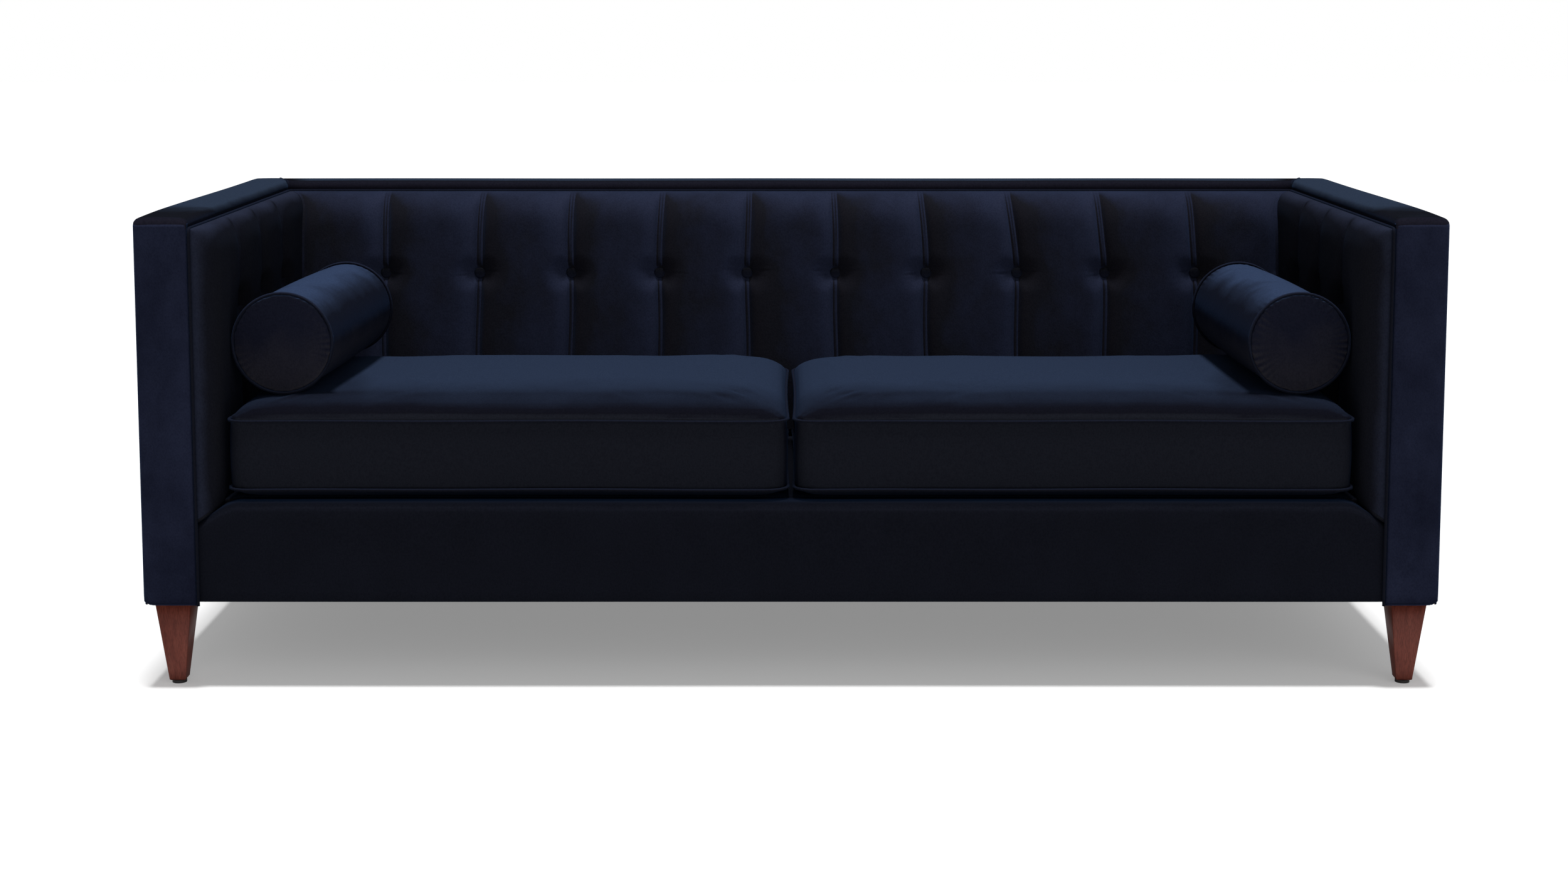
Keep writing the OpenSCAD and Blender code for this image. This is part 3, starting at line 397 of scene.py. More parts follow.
# Painted light from the right: the right side of each channel is painted lighter, the left side
# darker
back_velvet = velvet("velvet_back", 0.10, along_right, (-0.5, 12.6, 12, 15.8),
                     (-0.12, 11.3, 11.7, 16.5), (0.08, 14.2, 16.6, 31), (0.3, 18, 22.2, 44),
                     (0.6, 21.5, 26.2, 51), patchy=2.2)
arm_velvet = velvet("velvet_arm", 0.01, (0, -0.6, 0.8), (-0.45, 7.5, 7.7, 10.2),
                    (0.05, 11.2, 11.7, 15.5), (0.38, 8.8, 9.6, 14.6), (0.82, 20.5, 25.2, 46),
                    patchy=1.4)
# Painted shade over the front roll of the seat cushions, and a painted shadow of the bolsters at
# their outer ends
cushion_velvet = velvet("velvet_cushion", 0.03, along_back, (-1.0, 10.1, 11.2, 16.2),
                        (-0.80, 5.2, 5.4, 8.8), (-0.45, 5.4, 5.7, 9.8), (0.275, 19.8, 30.2, 58),
                        patchy=0.6, painted_front_shade=(-0.40, -0.15, -0.19), beside=(0.71, 0.98))
# Painted highlight along the top of the bolsters, and their undersides painted lighter than their
# shade
bolster_velvet = velvet("velvet_bolster", 0.025, up, (-0.3, 24, 23, 30), (0.1, 8, 9, 17.2),
                        (0.5, 7.6, 8.4, 14.2), (0.72, 15, 21, 40), (0.95, 31, 49, 100),
                        patchy=1.5)
welt_velvet = velvet("velvet_welt", 0.08, up, (-0.2, 7.8, 8.4, 13.8), (0.7, 15, 19.5, 37))
dark_welt_velvet = velvet("velvet_dark_welt", 0.05, up, (-0.2, 6.8, 7.2, 10.5),
                          (0.7, 9.8, 11.8, 21.5))
# Painted highlight on the lower rim of the buttons
button_velvet = velvet("velvet_button", 0.06, (0, 0, -1), (-0.3, 6, 6.3, 8.6),
                       (0.5, 16, 18.5, 33))


# Outside arms and outside back
# Velvet over wadding, pulled tight over the frame, blind-tacked along the top and stapled under
# the rails. The edges roll into the seams at the corners.
half_w, front_y, back_y = 1067 * mm, -432 * mm, 432 * mm
inner_x, inner_y, lip_z = 979 * mm, 344 * mm, 764 * mm
top_z, base_z = 784 * mm, 140 * mm
panel_back_y = -420 * mm
skin, slack, touch = 4 * mm, 1.6 * mm, 0.1 * mm
sides = (("left", -1), ("right", 1))


def sliced(bm, axis, places):
    """Cuts right through at each place along an axis, so that the faces can bend there."""
    normal = Vector([1.0 if k == axis else 0.0 for k in range(3)])
    for place in places:
        bmesh.ops.bisect_plane(bm, geom=bm.verts[:] + bm.edges[:] + bm.faces[:],
                               plane_co=normal * place, plane_no=normal)


def spaced(start, end, step):
    """Places between two ends, about a step apart, without the ends."""
    count = max(1, round(abs(end - start) / step))
    return [start + (end - start) * k / count for k in range(1, count)]


def coordinates(verts):
    """The places of all points, one in each row."""
    return np.array([v.co[:] for v in verts])


def shifted(points, shift):
    """The points after a shift, a function that gives the steps in X, Y and Z for them all."""
    return points + np.column_stack(np.broadcast_arrays(*shift(*points.T)))


def moved(bm, shift):
    """Moves every point by a shift."""
    for vert, point in zip(bm.verts, shifted(coordinates(bm.verts), shift)):
        vert.co = point


def eased(share):
    """0 below 0, 1 above 1 and a smooth rise between."""
    s = np.clip(share, 0, 1)
    return s * s * (3 - 2 * s)


def puffed(across, low, high, reach):
    """1 in the middle of a span and 0 at its two ends, rising over a reach."""
    inside = np.clip(np.minimum(across - low, high - across) / reach, 0, 1)
    return np.sqrt(np.maximum(0, 1 - (1 - inside) ** 2))


def loose(along, low, high, reach, z, reach_z, wave):
    """How far a tight cover stands out of its plane: it is held at its edges, and a little loose
    and uneven between them."""
    free = puffed(along, low, high, reach) * puffed(z, base_z, lip_z, reach_z)
    return slack * (free * (0.5 + 0.5 * np.sin(wave)) - 0.4)


for side, sign in sides:
    inner, outer = sorted((sign * (half_w - skin), sign * half_w))
    panel = block((inner, panel_back_y, base_z), (outer, back_y, lip_z))
    rounded(panel, 2.5 * mm, 3, lambda at, along: abs(at.x - sign * half_w) < touch)
    sliced(panel, 1, spaced(panel_back_y, back_y, 30 * mm))
    sliced(panel, 2, spaced(base_z, lip_z, 30 * mm))
    moved(panel, lambda x, y, z: (sign * loose(
        y, panel_back_y, back_y, 90 * mm, z, 90 * mm, 5.1 * y + 3.7 * z + sign), 0, 0))
    piece("outside_arm_" + side, panel, panel_velvet)

back_end = half_w - skin
panel = block((-back_end, back_y - skin, base_z), (back_end, back_y, lip_z))
rounded(panel, 2.5 * mm, 3, lambda at, along: abs(at.y - back_y) < touch)
sliced(panel, 0, spaced(-back_end, back_end, 40 * mm))
sliced(panel, 2, spaced(base_z, lip_z, 30 * mm))
moved(panel, lambda x, y, z: (0, loose(
    x, -back_end, back_end, 120 * mm, z, 100 * mm, 3.3 * x + 4.1 * z), 0))
piece("outside_back", panel, panel_velvet)

# Arm fronts
# A padded panel on each arm front: velvet and wadding over a board, slid up under the band and
# tacked. Its outer edge rolls round to the outside arm and its lower outer corner is soft.
panel_top = 772 * mm
top_cuts = [panel_top - d * mm for d in (1, 2, 3.5, 5.5, 8)]


def sunk_edges(x, y, z, sign):
    """How far the padding falls back towards the edges of an arm front and under the band."""
    flat = puffed(np.abs(x), inner_x - 10 * mm, half_w + 2 * mm, 40 * mm) \
        * puffed(z, base_z - 12 * mm, panel_top + 30 * mm, 22 * mm)
    under_band = np.clip((z - panel_top + 4 * mm) / (4 * mm), 0, 1) ** 2
    waves = np.sin(6 * z + sign) * np.sin(30 * x)
    return np.where(y < front_y + 11 * mm,
                    2.2 * mm * (1 - flat) + 2.4 * mm * under_band + 0.6 * mm * waves, 0)


for side, sign in sides:
    inner, outer = sign * inner_x, sign * half_w
    low, high = sorted((inner, outer))
    panel = block((low, front_y, base_z), (high, panel_back_y, panel_top))
    for edge, radius, steps in ((outer, 8.5 * mm, 5), (inner, 4 * mm, 4)):
        rounded(panel, radius, steps, lambda at, along: abs(along.z) > 0.9
                and abs(at.x - edge) < touch and abs(at.y - front_y) < touch)
    rounded(panel, 7 * mm, 5, lambda at, along: abs(at.z - base_z) < touch
            and abs(along.x) > 0.2 and at.y < front_y + 9 * mm)
    sliced(panel, 0, spaced(low, high, 8 * mm))
    sliced(panel, 2, spaced(base_z, panel_top, 20 * mm) + top_cuts)
    moved(panel, lambda x, y, z: (
        -sign * 9 * mm * eased((z - base_z - 10 * mm) / (-10 * mm)) ** 2
        * eased((np.abs(x) - inner_x - 60 * mm) / (28 * mm)), sunk_edges(x, y, z, sign), 0))
    piece("arm_front_" + side, panel, panel_velvet)

# Bands along the top
# A long boxed strip of velvet over wadding on the top boards of each arm and of the back. The
# three strips are sewn together at the two corners, on seams that run slanting to the back.
corner_shift, band_r, crown = 36 * mm, 11 * mm, 2.5 * mm


def crowned(x, y, z, across, low, high):
    """The soft top of a band: highest in the middle of its width, lower towards the front end, and
    a little uneven."""
    top = eased((z - lip_z) / (top_z - lip_z))
    half = (high - low) / 2
    rise = puffed(across, low, high, half) * puffed(y, -9, back_y, half) - 1
    front_fall = np.clip(1 - (y - front_y) / (180 * mm), 0, 1) ** 2
    return top * (crown * rise - 2 * mm * front_fall
                  + 0.7 * mm * np.sin(9 * x + 2) * np.sin(7 * y))


def closed_up(bm):
    """Closes each open rim with a face."""
    bmesh.ops.holes_fill(bm, edges=[e for e in bm.edges if e.is_boundary], sides=0)


def corner_cut(bm, sign, keep_back):
    """Cuts a band along the corner seam, and closes the cut."""
    across = Vector((sign * (back_y - inner_y), -corner_shift, 0)) * (1 if keep_back else -1)
    bmesh.ops.bisect_plane(bm, geom=bm.verts[:] + bm.edges[:] + bm.faces[:],
                           plane_co=(sign * inner_x, inner_y, lip_z), plane_no=across,
                           clear_outer=True)
    closed_up(bm)


for side, sign in sides:
    outer = sign * half_w
    low, high = sorted((sign * inner_x, outer))
    band = block((low, front_y + 1.2 * mm, lip_z), (high, back_y, top_z))
    rounded(band, band_r, 6, lambda at, along: at.z > top_z - touch
            or (abs(along.z) > 0.9 and abs(at.x - outer) < mm))
    sliced(band, 0, spaced(low, high, 6 * mm))
    sliced(band, 1, [front_y + d * mm for d in (16, 22, 30, 40, 52, 66, 84, 104, 128)]
           + spaced(front_y + 128 * mm, back_y, 40 * mm))
    moved(band, lambda x, y, z: (0, 0, crowned(x, y, z, np.abs(x), inner_x, half_w)))
    corner_cut(band, sign, False)
    piece("band_arm_" + side, band, band_velvet)

band = block((-inner_x - corner_shift, inner_y, lip_z), (inner_x + corner_shift, back_y, top_z))
rounded(band, band_r, 6, lambda at, along: at.z > top_z - touch and abs(along.x) > 0.9)
sliced(band, 0, spaced(-inner_x, inner_x, 40 * mm))
sliced(band, 1, spaced(inner_y, back_y, 6 * mm))
moved(band, lambda x, y, z: (0, 0, crowned(x, y, z, y, inner_y, back_y)))
for sign in (-1, 1):
    corner_cut(band, sign, True)
piece("band_back", band, band_velvet)


# Welts of the shell
# One length of velvet piping runs up the inner edge of each arm front and along the lower edge
# of the bands. A short one covers each corner seam.
def piping(name, route, width, material, body="frame", nodes=(), closed=False):
    """Covered cord along a route of points. It stands for the given CAD nodes, if any."""
    curve = bpy.data.curves.new(name, "CURVE")
    curve.dimensions = "3D"
    curve.bevel_depth = width / 2
    curve.bevel_resolution = 3
    curve.use_fill_caps = True
    line = curve.splines.new("POLY")
    line.points.add(len(route) - 1)
    line.points.foreach_set("co", [c for p in route for c in (*p, 1)])
    line.use_cyclic_u = closed
    drawn = bpy.data.objects.new(name + "_route", curve)
    scene.collection.objects.link(drawn)
    bpy.context.view_layer.update()
    bm = bmesh.new()
    bm.from_mesh(drawn.evaluated_get(bpy.context.evaluated_depsgraph_get()).to_mesh())
    bpy.data.objects.remove(drawn)
    bmesh.ops.remove_doubles(bm, verts=bm.verts, dist=0.01 * mm)
    return piece(name, bm, material, body, nodes)


def bent(points, radius, step):
    """A route through corner points, with each corner rounded and points a step apart."""
    points = [Vector(p) for p in points]
    route = [points[0]]
    for before, at, after in zip(points, points[1:], points[2:]):
        start = at + (before - at).normalized() * radius
        end = at + (after - at).normalized() * radius
        for k in range(9):
            t = k / 8
            route.append(start * (1 - t) ** 2 + at * 2 * t * (1 - t) + end * t * t)
    route.append(points[-1])
    fine = [route[0]]
    for a, b in zip(route, route[1:]):
        count = max(1, round((b - a).length / step))
        fine += [a.lerp(b, k / count) for k in range(1, count + 1)]
    return fine


welt_w, seam_w = 5 * mm, 4 * mm
edge_x, edge_y = inner_x - 3.2 * mm, front_y + 3 * mm
lip_x, lip_y, lip_low = inner_x - 1.8 * mm, inner_y - 1.8 * mm, lip_z + 0.5 * mm
half = [(edge_x, edge_y, base_z), (edge_x, edge_y, lip_low), (lip_x, lip_y, lip_low)]
route = bent([(-x, y, z) for x, y, z in half] + half[::-1], 9 * mm, 12 * mm)
piping("shell_welt", route, welt_w, dark_welt_velvet, nodes=["arm_welts"])

for side, sign in sides:
    ends = [(sign * inner_x, inner_y), (sign * (inner_x + corner_shift), back_y)]
    low, high = lip_z + 2 * mm, top_z - 1.7 * mm
    over = [(*ends[0], low), (*ends[0], high), (*ends[1], high), (*ends[1], low)]
    piping("corner_seam_" + side, bent(over, 12 * mm, 8 * mm), seam_w, dark_welt_velvet)

# Front rail cover
# Velvet over thin foam on the front rail, rolled over its top edge and stapled underneath. At
# each end the top slopes down where the arm padding comes over it.
cover_y, cover_back, cover_low, rail_top = -424 * mm, -375 * mm, 145 * mm, 310 * mm
cover_r, slope_w, slope_h = 14 * mm, 54 * mm, 35 * mm


def rail_drop(x):
    """How far the top of the rail cover has sloped down at a place along the sofa."""
    t = (np.abs(x) - (inner_x - slope_w)) / slope_w
    return slope_h * np.where(t < -0.35, 0, np.where(t > 0.35, t, (t + 0.35) ** 2 / 1.4))


cover = block((-inner_x, cover_y, cover_low), (inner_x, cover_back, rail_top))
rounded(cover, cover_r, 8, lambda at, along: at.z > rail_top - mm and at.y < cover_y + mm)
rounded(cover, 3 * mm, 3, lambda at, along: at.z < cover_low + mm and at.y < cover_y + mm)
sliced(cover, 0, spaced(-inner_x, inner_x, 60 * mm)
       + [s * (inner_x - d * mm) for s in (-1, 1) for d in range(5, 100, 6)])
sliced(cover, 2, spaced(cover_low, rail_top - cover_r, 18 * mm))
moved(cover, lambda x, y, z: (
    0, np.where(y < cover_y + 2 * mm, mm * np.sin(4.2 * x + 1) * np.sin(17 * z), 0),
    -rail_drop(x) * eased((z - rail_top + 90 * mm) / (90 * mm)) ** 0.5))
piece("front_rail_cover", cover, face_velvet)

# Seat deck
# Dark decking cloth over a felt pad on the springs, stapled to the rails. It dips a little
# between the springs.
deck_turn = Matrix.Rotation(math.radians(-0.6), 4, "X")  # it slopes down to the back
deck_start = Vector((0, -375 * mm, 308 * mm))
deck_place = Matrix.Translation(deck_start) @ deck_turn
deck_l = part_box("deck_cloth")[1].y - deck_start.y
deck = block((-inner_x, 0.3 * mm, -14 * mm), (inner_x, deck_l, 0))
rounded(deck, 3 * mm, 3, lambda at, along: at.z > -mm)
sliced(deck, 0, spaced(-inner_x, inner_x, 24 * mm))
sliced(deck, 1, spaced(0, deck_l, 30 * mm))
moved(deck, lambda x, y, z: (0, 0, np.where(
    z > -3.5 * mm, -2.4 * mm * puffed(y, 0, deck_l, 120 * mm)
    * puffed(x, -inner_x, inner_x, 100 * mm)
    * (0.55 - 0.45 * np.cos(2 * np.pi * x / (2 * inner_x / 8))), 0)))
bmesh.ops.transform(deck, matrix=deck_place, verts=deck.verts)
# Painted light: the deck cloth is painted a little lighter where it faces up
deck_velvet = velvet("deck_velvet", 0.06, up, (0, 5, 5.2, 7.5), (0.9, 6.2, 6.6, 9.5))
seat_deck = piece("seat_deck", deck, deck_velvet,
                  nodes=["deck_cloth", "deck_pad"])

# Inside back
# One padded panel with eleven upright channels. Each seam is a pleat, pulled down to the board
# and held halfway by a covered button. Foam and fibre fill the channels.
board_lean, channel_w, button_z = 52 / 454, 170.82 * mm, 611 * mm
back_pad, arm_pad, pad_edge, pad_gap = 75 * mm, 39 * mm, 6 * mm, 0.5 * mm
seam_deep, dimple_deep = 20 * mm, 26 * mm
pad_low, pad_high = 310.3 * mm, 763.7 * mm
back_shoulder, arm_shoulder = 88 * mm, 70 * mm
# How far the hand-sewn seams stray from even places, at the top, the button and the foot
stray_top = np.array([-10, 5, 6, 8, 5, -1, -3, -5, -4, 2]) * mm
stray_button = np.array([-12, -2, 5, 5.5, 4, 2.5, 5, 9, 8, 12.5]) * mm
stray_foot = np.array([-12, -4, 4, 5, 4, 3, 7, 11, 9, 12]) * mm
across_shares = np.array([0, 0.006, 0.012, 0.018, 0.024, 0.030, 0.036, 0.043, 0.052, 0.065,
                          0.085, 0.11, 0.15, 0.2, 0.27, 0.35, 0.43, 0.5])
across_shares = np.concatenate([across_shares, 1 - across_shares[-2:0:-1]])


def board_face(z):
    """Where the front of the leaning board is at a height."""
    return inner_y - (lip_z - z) * board_lean


def draped(us, vs, place):
    """A grid with a column at each u and a row at each v, each point put in its place."""
    bm = bmesh.new()
    bmesh.ops.create_grid(bm, x_segments=len(us) - 1, y_segments=len(vs) - 1, size=0.5)
    points = coordinates(bm.verts) + 0.5
    column = np.rint(points[:, 0] * (len(us) - 1)).astype(int)
    row = np.rint(points[:, 1] * (len(vs) - 1)).astype(int)
    for vert, point in zip(bm.verts, np.column_stack(place(us[column], vs[row]))):
        vert.co = point
    return bm


def backed(bm, axis, face):
    """Turns the rim of a cloth back to the board and closes it there."""
    rim = [e for e in bm.edges if e.is_boundary]
    turned = bmesh.ops.extrude_edge_only(bm, edges=rim)["geom"]
    for vert in [g for g in turned if isinstance(g, bmesh.types.BMVert)]:
        vert.co[axis] = face(vert.co)
    closed_up(bm)


def tuck(up):
    """Half the width of the folded strip in a seam: wider above the button than below."""
    return (3.6 + 1.6 * eased((up + 6 * mm) / (12 * mm))) * mm


def groove(apart, up):
    """How much of a seam's depth the padding has sunk at a distance from the seam."""
    beside = np.maximum(0, np.abs(apart) - tuck(up) - mm)
    wide = (1 - np.clip(beside / (80 * mm), 0, 1)) ** 2
    return 0.76 * np.exp(-(beside / (9 * mm)) ** 0.9) + 0.24 * wide


def dimple(apart, up):
    """The same round a button."""
    reach = np.maximum(0, np.hypot(apart, up * 0.9) - 8 * mm)
    return 0.50 * np.exp(-(reach / (13 * mm)) ** 1.3) + 0.50 * (1 - eased(reach / (46 * mm)))


def pleat(apart, up):
    """The folded strip in a seam, with a dark line on each side of it."""
    away = eased((np.abs(up) - 9 * mm) / (12 * mm))
    return 2.6 * mm * away * np.exp(-(np.abs(apart) / (0.86 * tuck(up))) ** 6)


def pulls(apart, up, key):
    """Creases that run out from a button, different at each one."""
    rng = np.random.default_rng(key)
    total = np.zeros_like(apart)
    for side in (-1, 1):
        for k in range(3):
            angle = math.radians(rng.uniform(-16, 16))
            reach = rng.uniform(26, 52) * mm
            deep = rng.uniform(0.4, 0.9) * mm
            along = side * apart * math.cos(angle) + up * math.sin(angle)
            bow = 25 * (along - 0.02) * np.abs(along) * rng.uniform(-0.12, 0.12)
            off = up * math.cos(angle) - side * apart * math.sin(angle) - bow
            starts = eased((along - 9 * mm) / (6 * mm))
            ends = 1 - eased((along - reach / 2) / (reach / 2))
            total += deep * starts * ends * (np.exp(-(off / (1.7 * mm)) ** 2)
                                             - 0.45 * np.exp(-((off - 4 * mm) / (2.6 * mm)) ** 2))
    return total


def rising(share):
    """The round shoulder of a pad, from 0 at its rim to 1."""
    return (1 - (1 - np.clip(share, 0, 1)) ** 3) ** 0.46


def pad_thick(crown, z, seams, shoulder, edge=1.0, deep=1.0):
    """Thickness of a channelled pad at a height, from the signed distance to each seam beside it
    with the seam's key. A seam with no key is a corner, without a button."""
    near = sum(np.exp(-np.abs(apart) / (24 * mm)) for apart, key in seams)
    fall = (lip_z - z) / (shoulder * (0.72 + 0.75 * np.minimum(1, near)))
    full = rising(fall) * edge
    up = z - button_z
    change = 0
    for apart, key in seams:
        part = np.where(key > 0, 1.0, 0.5)
        sunk = seam_deep * groove(apart, up) * part * deep
        pit = dimple_deep * dimple(apart, up) * (key > 0)
        fold = pleat(apart, up) * deep * (key > 0)
        for each in np.unique(key[key > 0]):
            mine = key == each
            fold[mine] -= pulls(apart[mine], up[mine], int(each))
        change = change + fold - (sunk ** 4 + pit ** 4) ** 0.25
    return pad_edge + (crown - pad_edge) * full + change * np.minimum(1, full)


def arm_side(z):
    """Where the inside arm's padding is at the corner, at a height."""
    full = rising((lip_z - z) / (50.4 * mm))
    return inner_x - (pad_edge + (arm_pad - pad_edge) * full) - pad_gap


def seam_x(k, z):
    """Where the back's seam k is at a height."""
    even = (k + 1 - 5.5) * channel_w
    high = np.clip((z - button_z) / (lip_z - button_z), 0, 1)
    low = np.clip((button_z - z) / (button_z - rail_top), 0, 1)
    above = (stray_top[k] - stray_button[k]) * high ** 1.3
    below = (stray_foot[k] - stray_button[k]) * low
    return even + stray_button[k] + above + below + 1.5 * mm * np.sin(22 * z + k)


def channelled(u, seams, key):
    """The place of each u among the seams, and its distance to the seam on each side, with a key
    for that seam. The outermost two have no key."""
    last = len(seams) - 2
    channel = np.minimum(last, np.floor(u + 1e-9)).astype(int)
    at = np.arange(len(u))
    left, right = seams[channel, at], seams[channel + 1, at]
    place = left + (u - channel) * (right - left)
    return place, [(place - left, np.where(channel > 0, key + channel, 0)),
                   (place - right, np.where(channel < last, key + 1 + channel, 0))]


def back_surface(u, z):
    """A point of the inside back, u channels from the left, at a height."""
    seams = np.array([-arm_side(z)] + [seam_x(k, z) for k in range(10)] + [arm_side(z)])
    x, beside = channelled(u, seams, 70)
    swell = 1 + 0.02 * np.sin(2.3 * u)
    return x, board_face(z) - pad_thick(back_pad * swell, z, beside, back_shoulder), z


pad_rows = np.array([pad_low] + spaced(pad_low, 575 * mm, 6 * mm) + [575 * mm]
                    + spaced(575 * mm, 648 * mm, 1.8 * mm) + [648 * mm]
                    + spaced(648 * mm, pad_high, 3 * mm) + [pad_high])
pad_columns = np.array([k + s for k in range(11) for s in across_shares] + [11.0])
back_bm = draped(pad_columns, pad_rows, back_surface)
backed(back_bm, 1, lambda co: float(board_face(co.z)) - touch)
inside_back = piece("inside_back", back_bm, back_velvet)

# Inside arms
# Padded panels like the inside back, with three seams each and a button on each seam. The front
# channel rolls round to the welt, and its toe comes down over the sloped end of the rail.
pad_front, front_round, far = front_y + 6.6 * mm, 62 * mm, 200 * mm
arm_seams = [-204.0 * mm, -33.2 * mm, 137.6 * mm]


def arm_foot(y, thick):
    """The lowest point of an inside arm: it follows the slope of the rail cover at the front."""
    over_rail = 1 - eased((y - cover_back + 8 * mm) / (8 * mm))
    return pad_low - rail_drop(inner_x - thick) * over_rail


def arm_surface(u, v, sign):
    """A point of an inside arm, u channels from the front, and v of its height up."""
    z = pad_low + v * (pad_high - pad_low)
    wavy = [s + 1.5 * mm * np.sin(25 * z + s * 40) for s in arm_seams]
    ends = np.array([np.full_like(z, pad_front)] + wavy + [board_face(z) - 0.2 * mm])
    y, beside = channelled(u, ends, 90 + 4 * sign)
    beside = [(np.where(key > 0, apart, far), key) for apart, key in beside]
    roll = np.clip((y - pad_front) / front_round, 0, 1)
    edge = np.sqrt(np.maximum(0, 1 - (1 - roll) ** 2))
    thick = pad_thick(arm_pad, z, beside, arm_shoulder, edge, 0.55)
    z = z + (arm_foot(y, thick) - pad_low) * (1 - v) ** 3
    return sign * (inner_x - thick), y, z


arm_columns = np.array([k + s for k in range(4) for s in across_shares] + [4.0])
arm_rows = (pad_rows - pad_low) / (pad_high - pad_low)
for side, sign in sides:
    pad = draped(arm_columns, arm_rows, lambda u, v: arm_surface(u, v, sign))
    backed(pad, 0, lambda co: sign * inner_x)
    made = piece("inside_arm_" + side, pad, arm_velvet)

# Buttons
# Velvet-covered metal buttons. Each is tied through the padding to the board behind, so it sits
# at the bottom of its dimple.
button_outline = [(0, 0), (8.6, 0.2), (10.2, 1.2), (10.5, 2.6), (9.6, 4.6), (7.4, 6.1), (4.2, 6.8),
                  (0, 7)]


def spun(outline, steps):
    """A round body about Z, from an outline of (radius, height) points."""
    bm = bmesh.new()
    rim = [bm.verts.new((r, 0, z)) for r, z in outline]
    edges = [bm.edges.new(pair) for pair in zip(rim, rim[1:])]
    bmesh.ops.spin(bm, geom=rim + edges, cent=(0, 0, 0), axis=(0, 0, 1), angle=2 * math.pi,
                   steps=steps, use_merge=True)
    bmesh.ops.remove_doubles(bm, verts=bm.verts, dist=0.01 * mm)
    return bm


def button(place, out):
    """A domed button at a place, facing out."""
    bm = spun([(r * mm, z * mm) for r, z in button_outline], 24)
    turn = Vector((0, 0, 1)).rotation_difference(Vector(out)).to_matrix().to_4x4()
    bmesh.ops.transform(bm, matrix=Matrix.Translation(place) @ turn, verts=bm.verts)
    return bm


def joined(parts):
    """Several meshes as one."""
    whole = bmesh.new()
    for part in parts:
        mesh = bpy.data.meshes.new("part")
        part.to_mesh(mesh)
        part.free()
        whole.from_mesh(mesh)
        bpy.data.meshes.remove(mesh)
    return whole


above_pit = 1.5 * mm
back_out = Vector((0, -1, -board_lean)).normalized()
back_seat = float(board_face(button_z)) - (back_pad - dimple_deep) + above_pit
buttons = [button((float(seam_x(k, np.array([button_z]))[0]), back_seat, button_z), back_out)
           for k in range(10)]
arm_seat = inner_x - (arm_pad - dimple_deep) + above_pit
buttons += [button((sign * arm_seat, y, button_z), (-sign, 0, 0))
            for sign in (-1, 1) for y in arm_seams]
piece("tuft_buttons", joined(buttons), button_velvet)


# Seat cushions
# Two loose box cushions: a foam block in a fibre wrap, in a velvet cover with a boxing strip
# between two welts. The filling crowns the top and the cover pulls in between the corners.
def rounded_outline(half_x, half_y, radius, count):
    """Points round a rectangle with soft corners, whose sides pull in between the corners."""
    radius = min(radius, half_x, half_y)
    cx, cy, arc = half_x - radius, half_y - radius, math.pi / 2 * radius
    ends = np.cumsum([0, cy, arc, 2 * cx, arc, 2 * cy, arc, 2 * cx, arc, cy])
    s = np.linspace(0, ends[-1], count, endpoint=False)
    turn = np.interp(s, ends, np.array([0, 0, 1, 1, 2, 2, 3, 3, 4, 4]) * math.pi / 2)
    way_x = np.array([1, 1, 1, -1, -1, -1, -1, 1, 1, 1])
    way_y = np.array([0, 1, 1, 1, 1, -1, -1, -1, -1, 0])
    x = np.interp(s, ends, cx * way_x) + radius * np.cos(turn)
    y = np.interp(s, ends, cy * way_y) + radius * np.sin(turn)
    share_x, share_y = x / half_x, y / half_y
    on_x = np.abs(share_x) > np.abs(share_y)
    x -= np.where(on_x, np.sign(share_x) * side_pull * (1 - share_y ** 2), 0)
    y -= np.where(~on_x, np.sign(share_y) * side_pull * (1 - share_x ** 2), 0)
    return np.column_stack([x, y])


def lofted(rings):
    """A closed skin through rings of (points, height), closed by a point at each end."""
    count = len(rings[0][0])
    us, vs = np.arange(count + 1.0), np.arange(float(len(rings)))
    grid = np.array([np.column_stack([p, np.broadcast_to(z, count)]) for p, z in rings])
    bm = draped(us, vs, lambda u, v: grid[v.astype(int), u.astype(int) % count].T)
    bmesh.ops.remove_doubles(bm, verts=bm.verts, dist=0.01 * mm)
    closed_up(bm)
    return bm


def applied(made):
    """The mesh that an object's modifiers give it. They are taken off."""
    depsgraph = bpy.context.evaluated_depsgraph_get()
    mesh = bpy.data.meshes.new_from_object(made.evaluated_get(depsgraph))
    made.modifiers.clear()
    return mesh


def blown(made, voxel, pressure, most, held):
    """Simulates how the filling blows out the cover between the places that the test holds still.
    No point goes further than the most that is allowed."""
    made.modifiers.new("even_mesh", "REMESH").voxel_size = voxel
    made.data = even = applied(made)
    start = coordinates(even.vertices)
    group = made.vertex_groups.new(name="seams")
    group.add(np.flatnonzero(held(*start.T)).tolist(), 1.0, "REPLACE")
    cloth = made.modifiers.new("Cloth", "CLOTH")
    cloth.settings.quality = 4
    cloth.settings.vertex_group_mass = "seams"
    cloth.settings.use_pressure = True
    cloth.settings.uniform_pressure_force = pressure
    cloth.settings.effector_weights.gravity = 0
    cloth.point_cache.frame_start, cloth.point_cache.frame_end = 1, sim_frames
    for at in range(1, sim_frames + 1):
        scene.frame_set(at)
    step = coordinates(applied(made).vertices) - start
    made.vertex_groups.clear()
    length = np.linalg.norm(step, axis=1, keepdims=True)
    step *= np.minimum(1, most / np.maximum(length, 1e-9))
    even.vertices.foreach_set("co", (start + step).ravel())
    even.update()
    scene.frame_set(1)


def shaped(made, shift, place):
    """Moves the points of a finished piece by a shift and puts it in its place. Its object stays
    at the origin."""
    points = shifted(coordinates(made.data.vertices), shift)
    made.data.vertices.foreach_set("co", points.ravel())
    made.data.transform(place)
    made.data.shade_smooth()


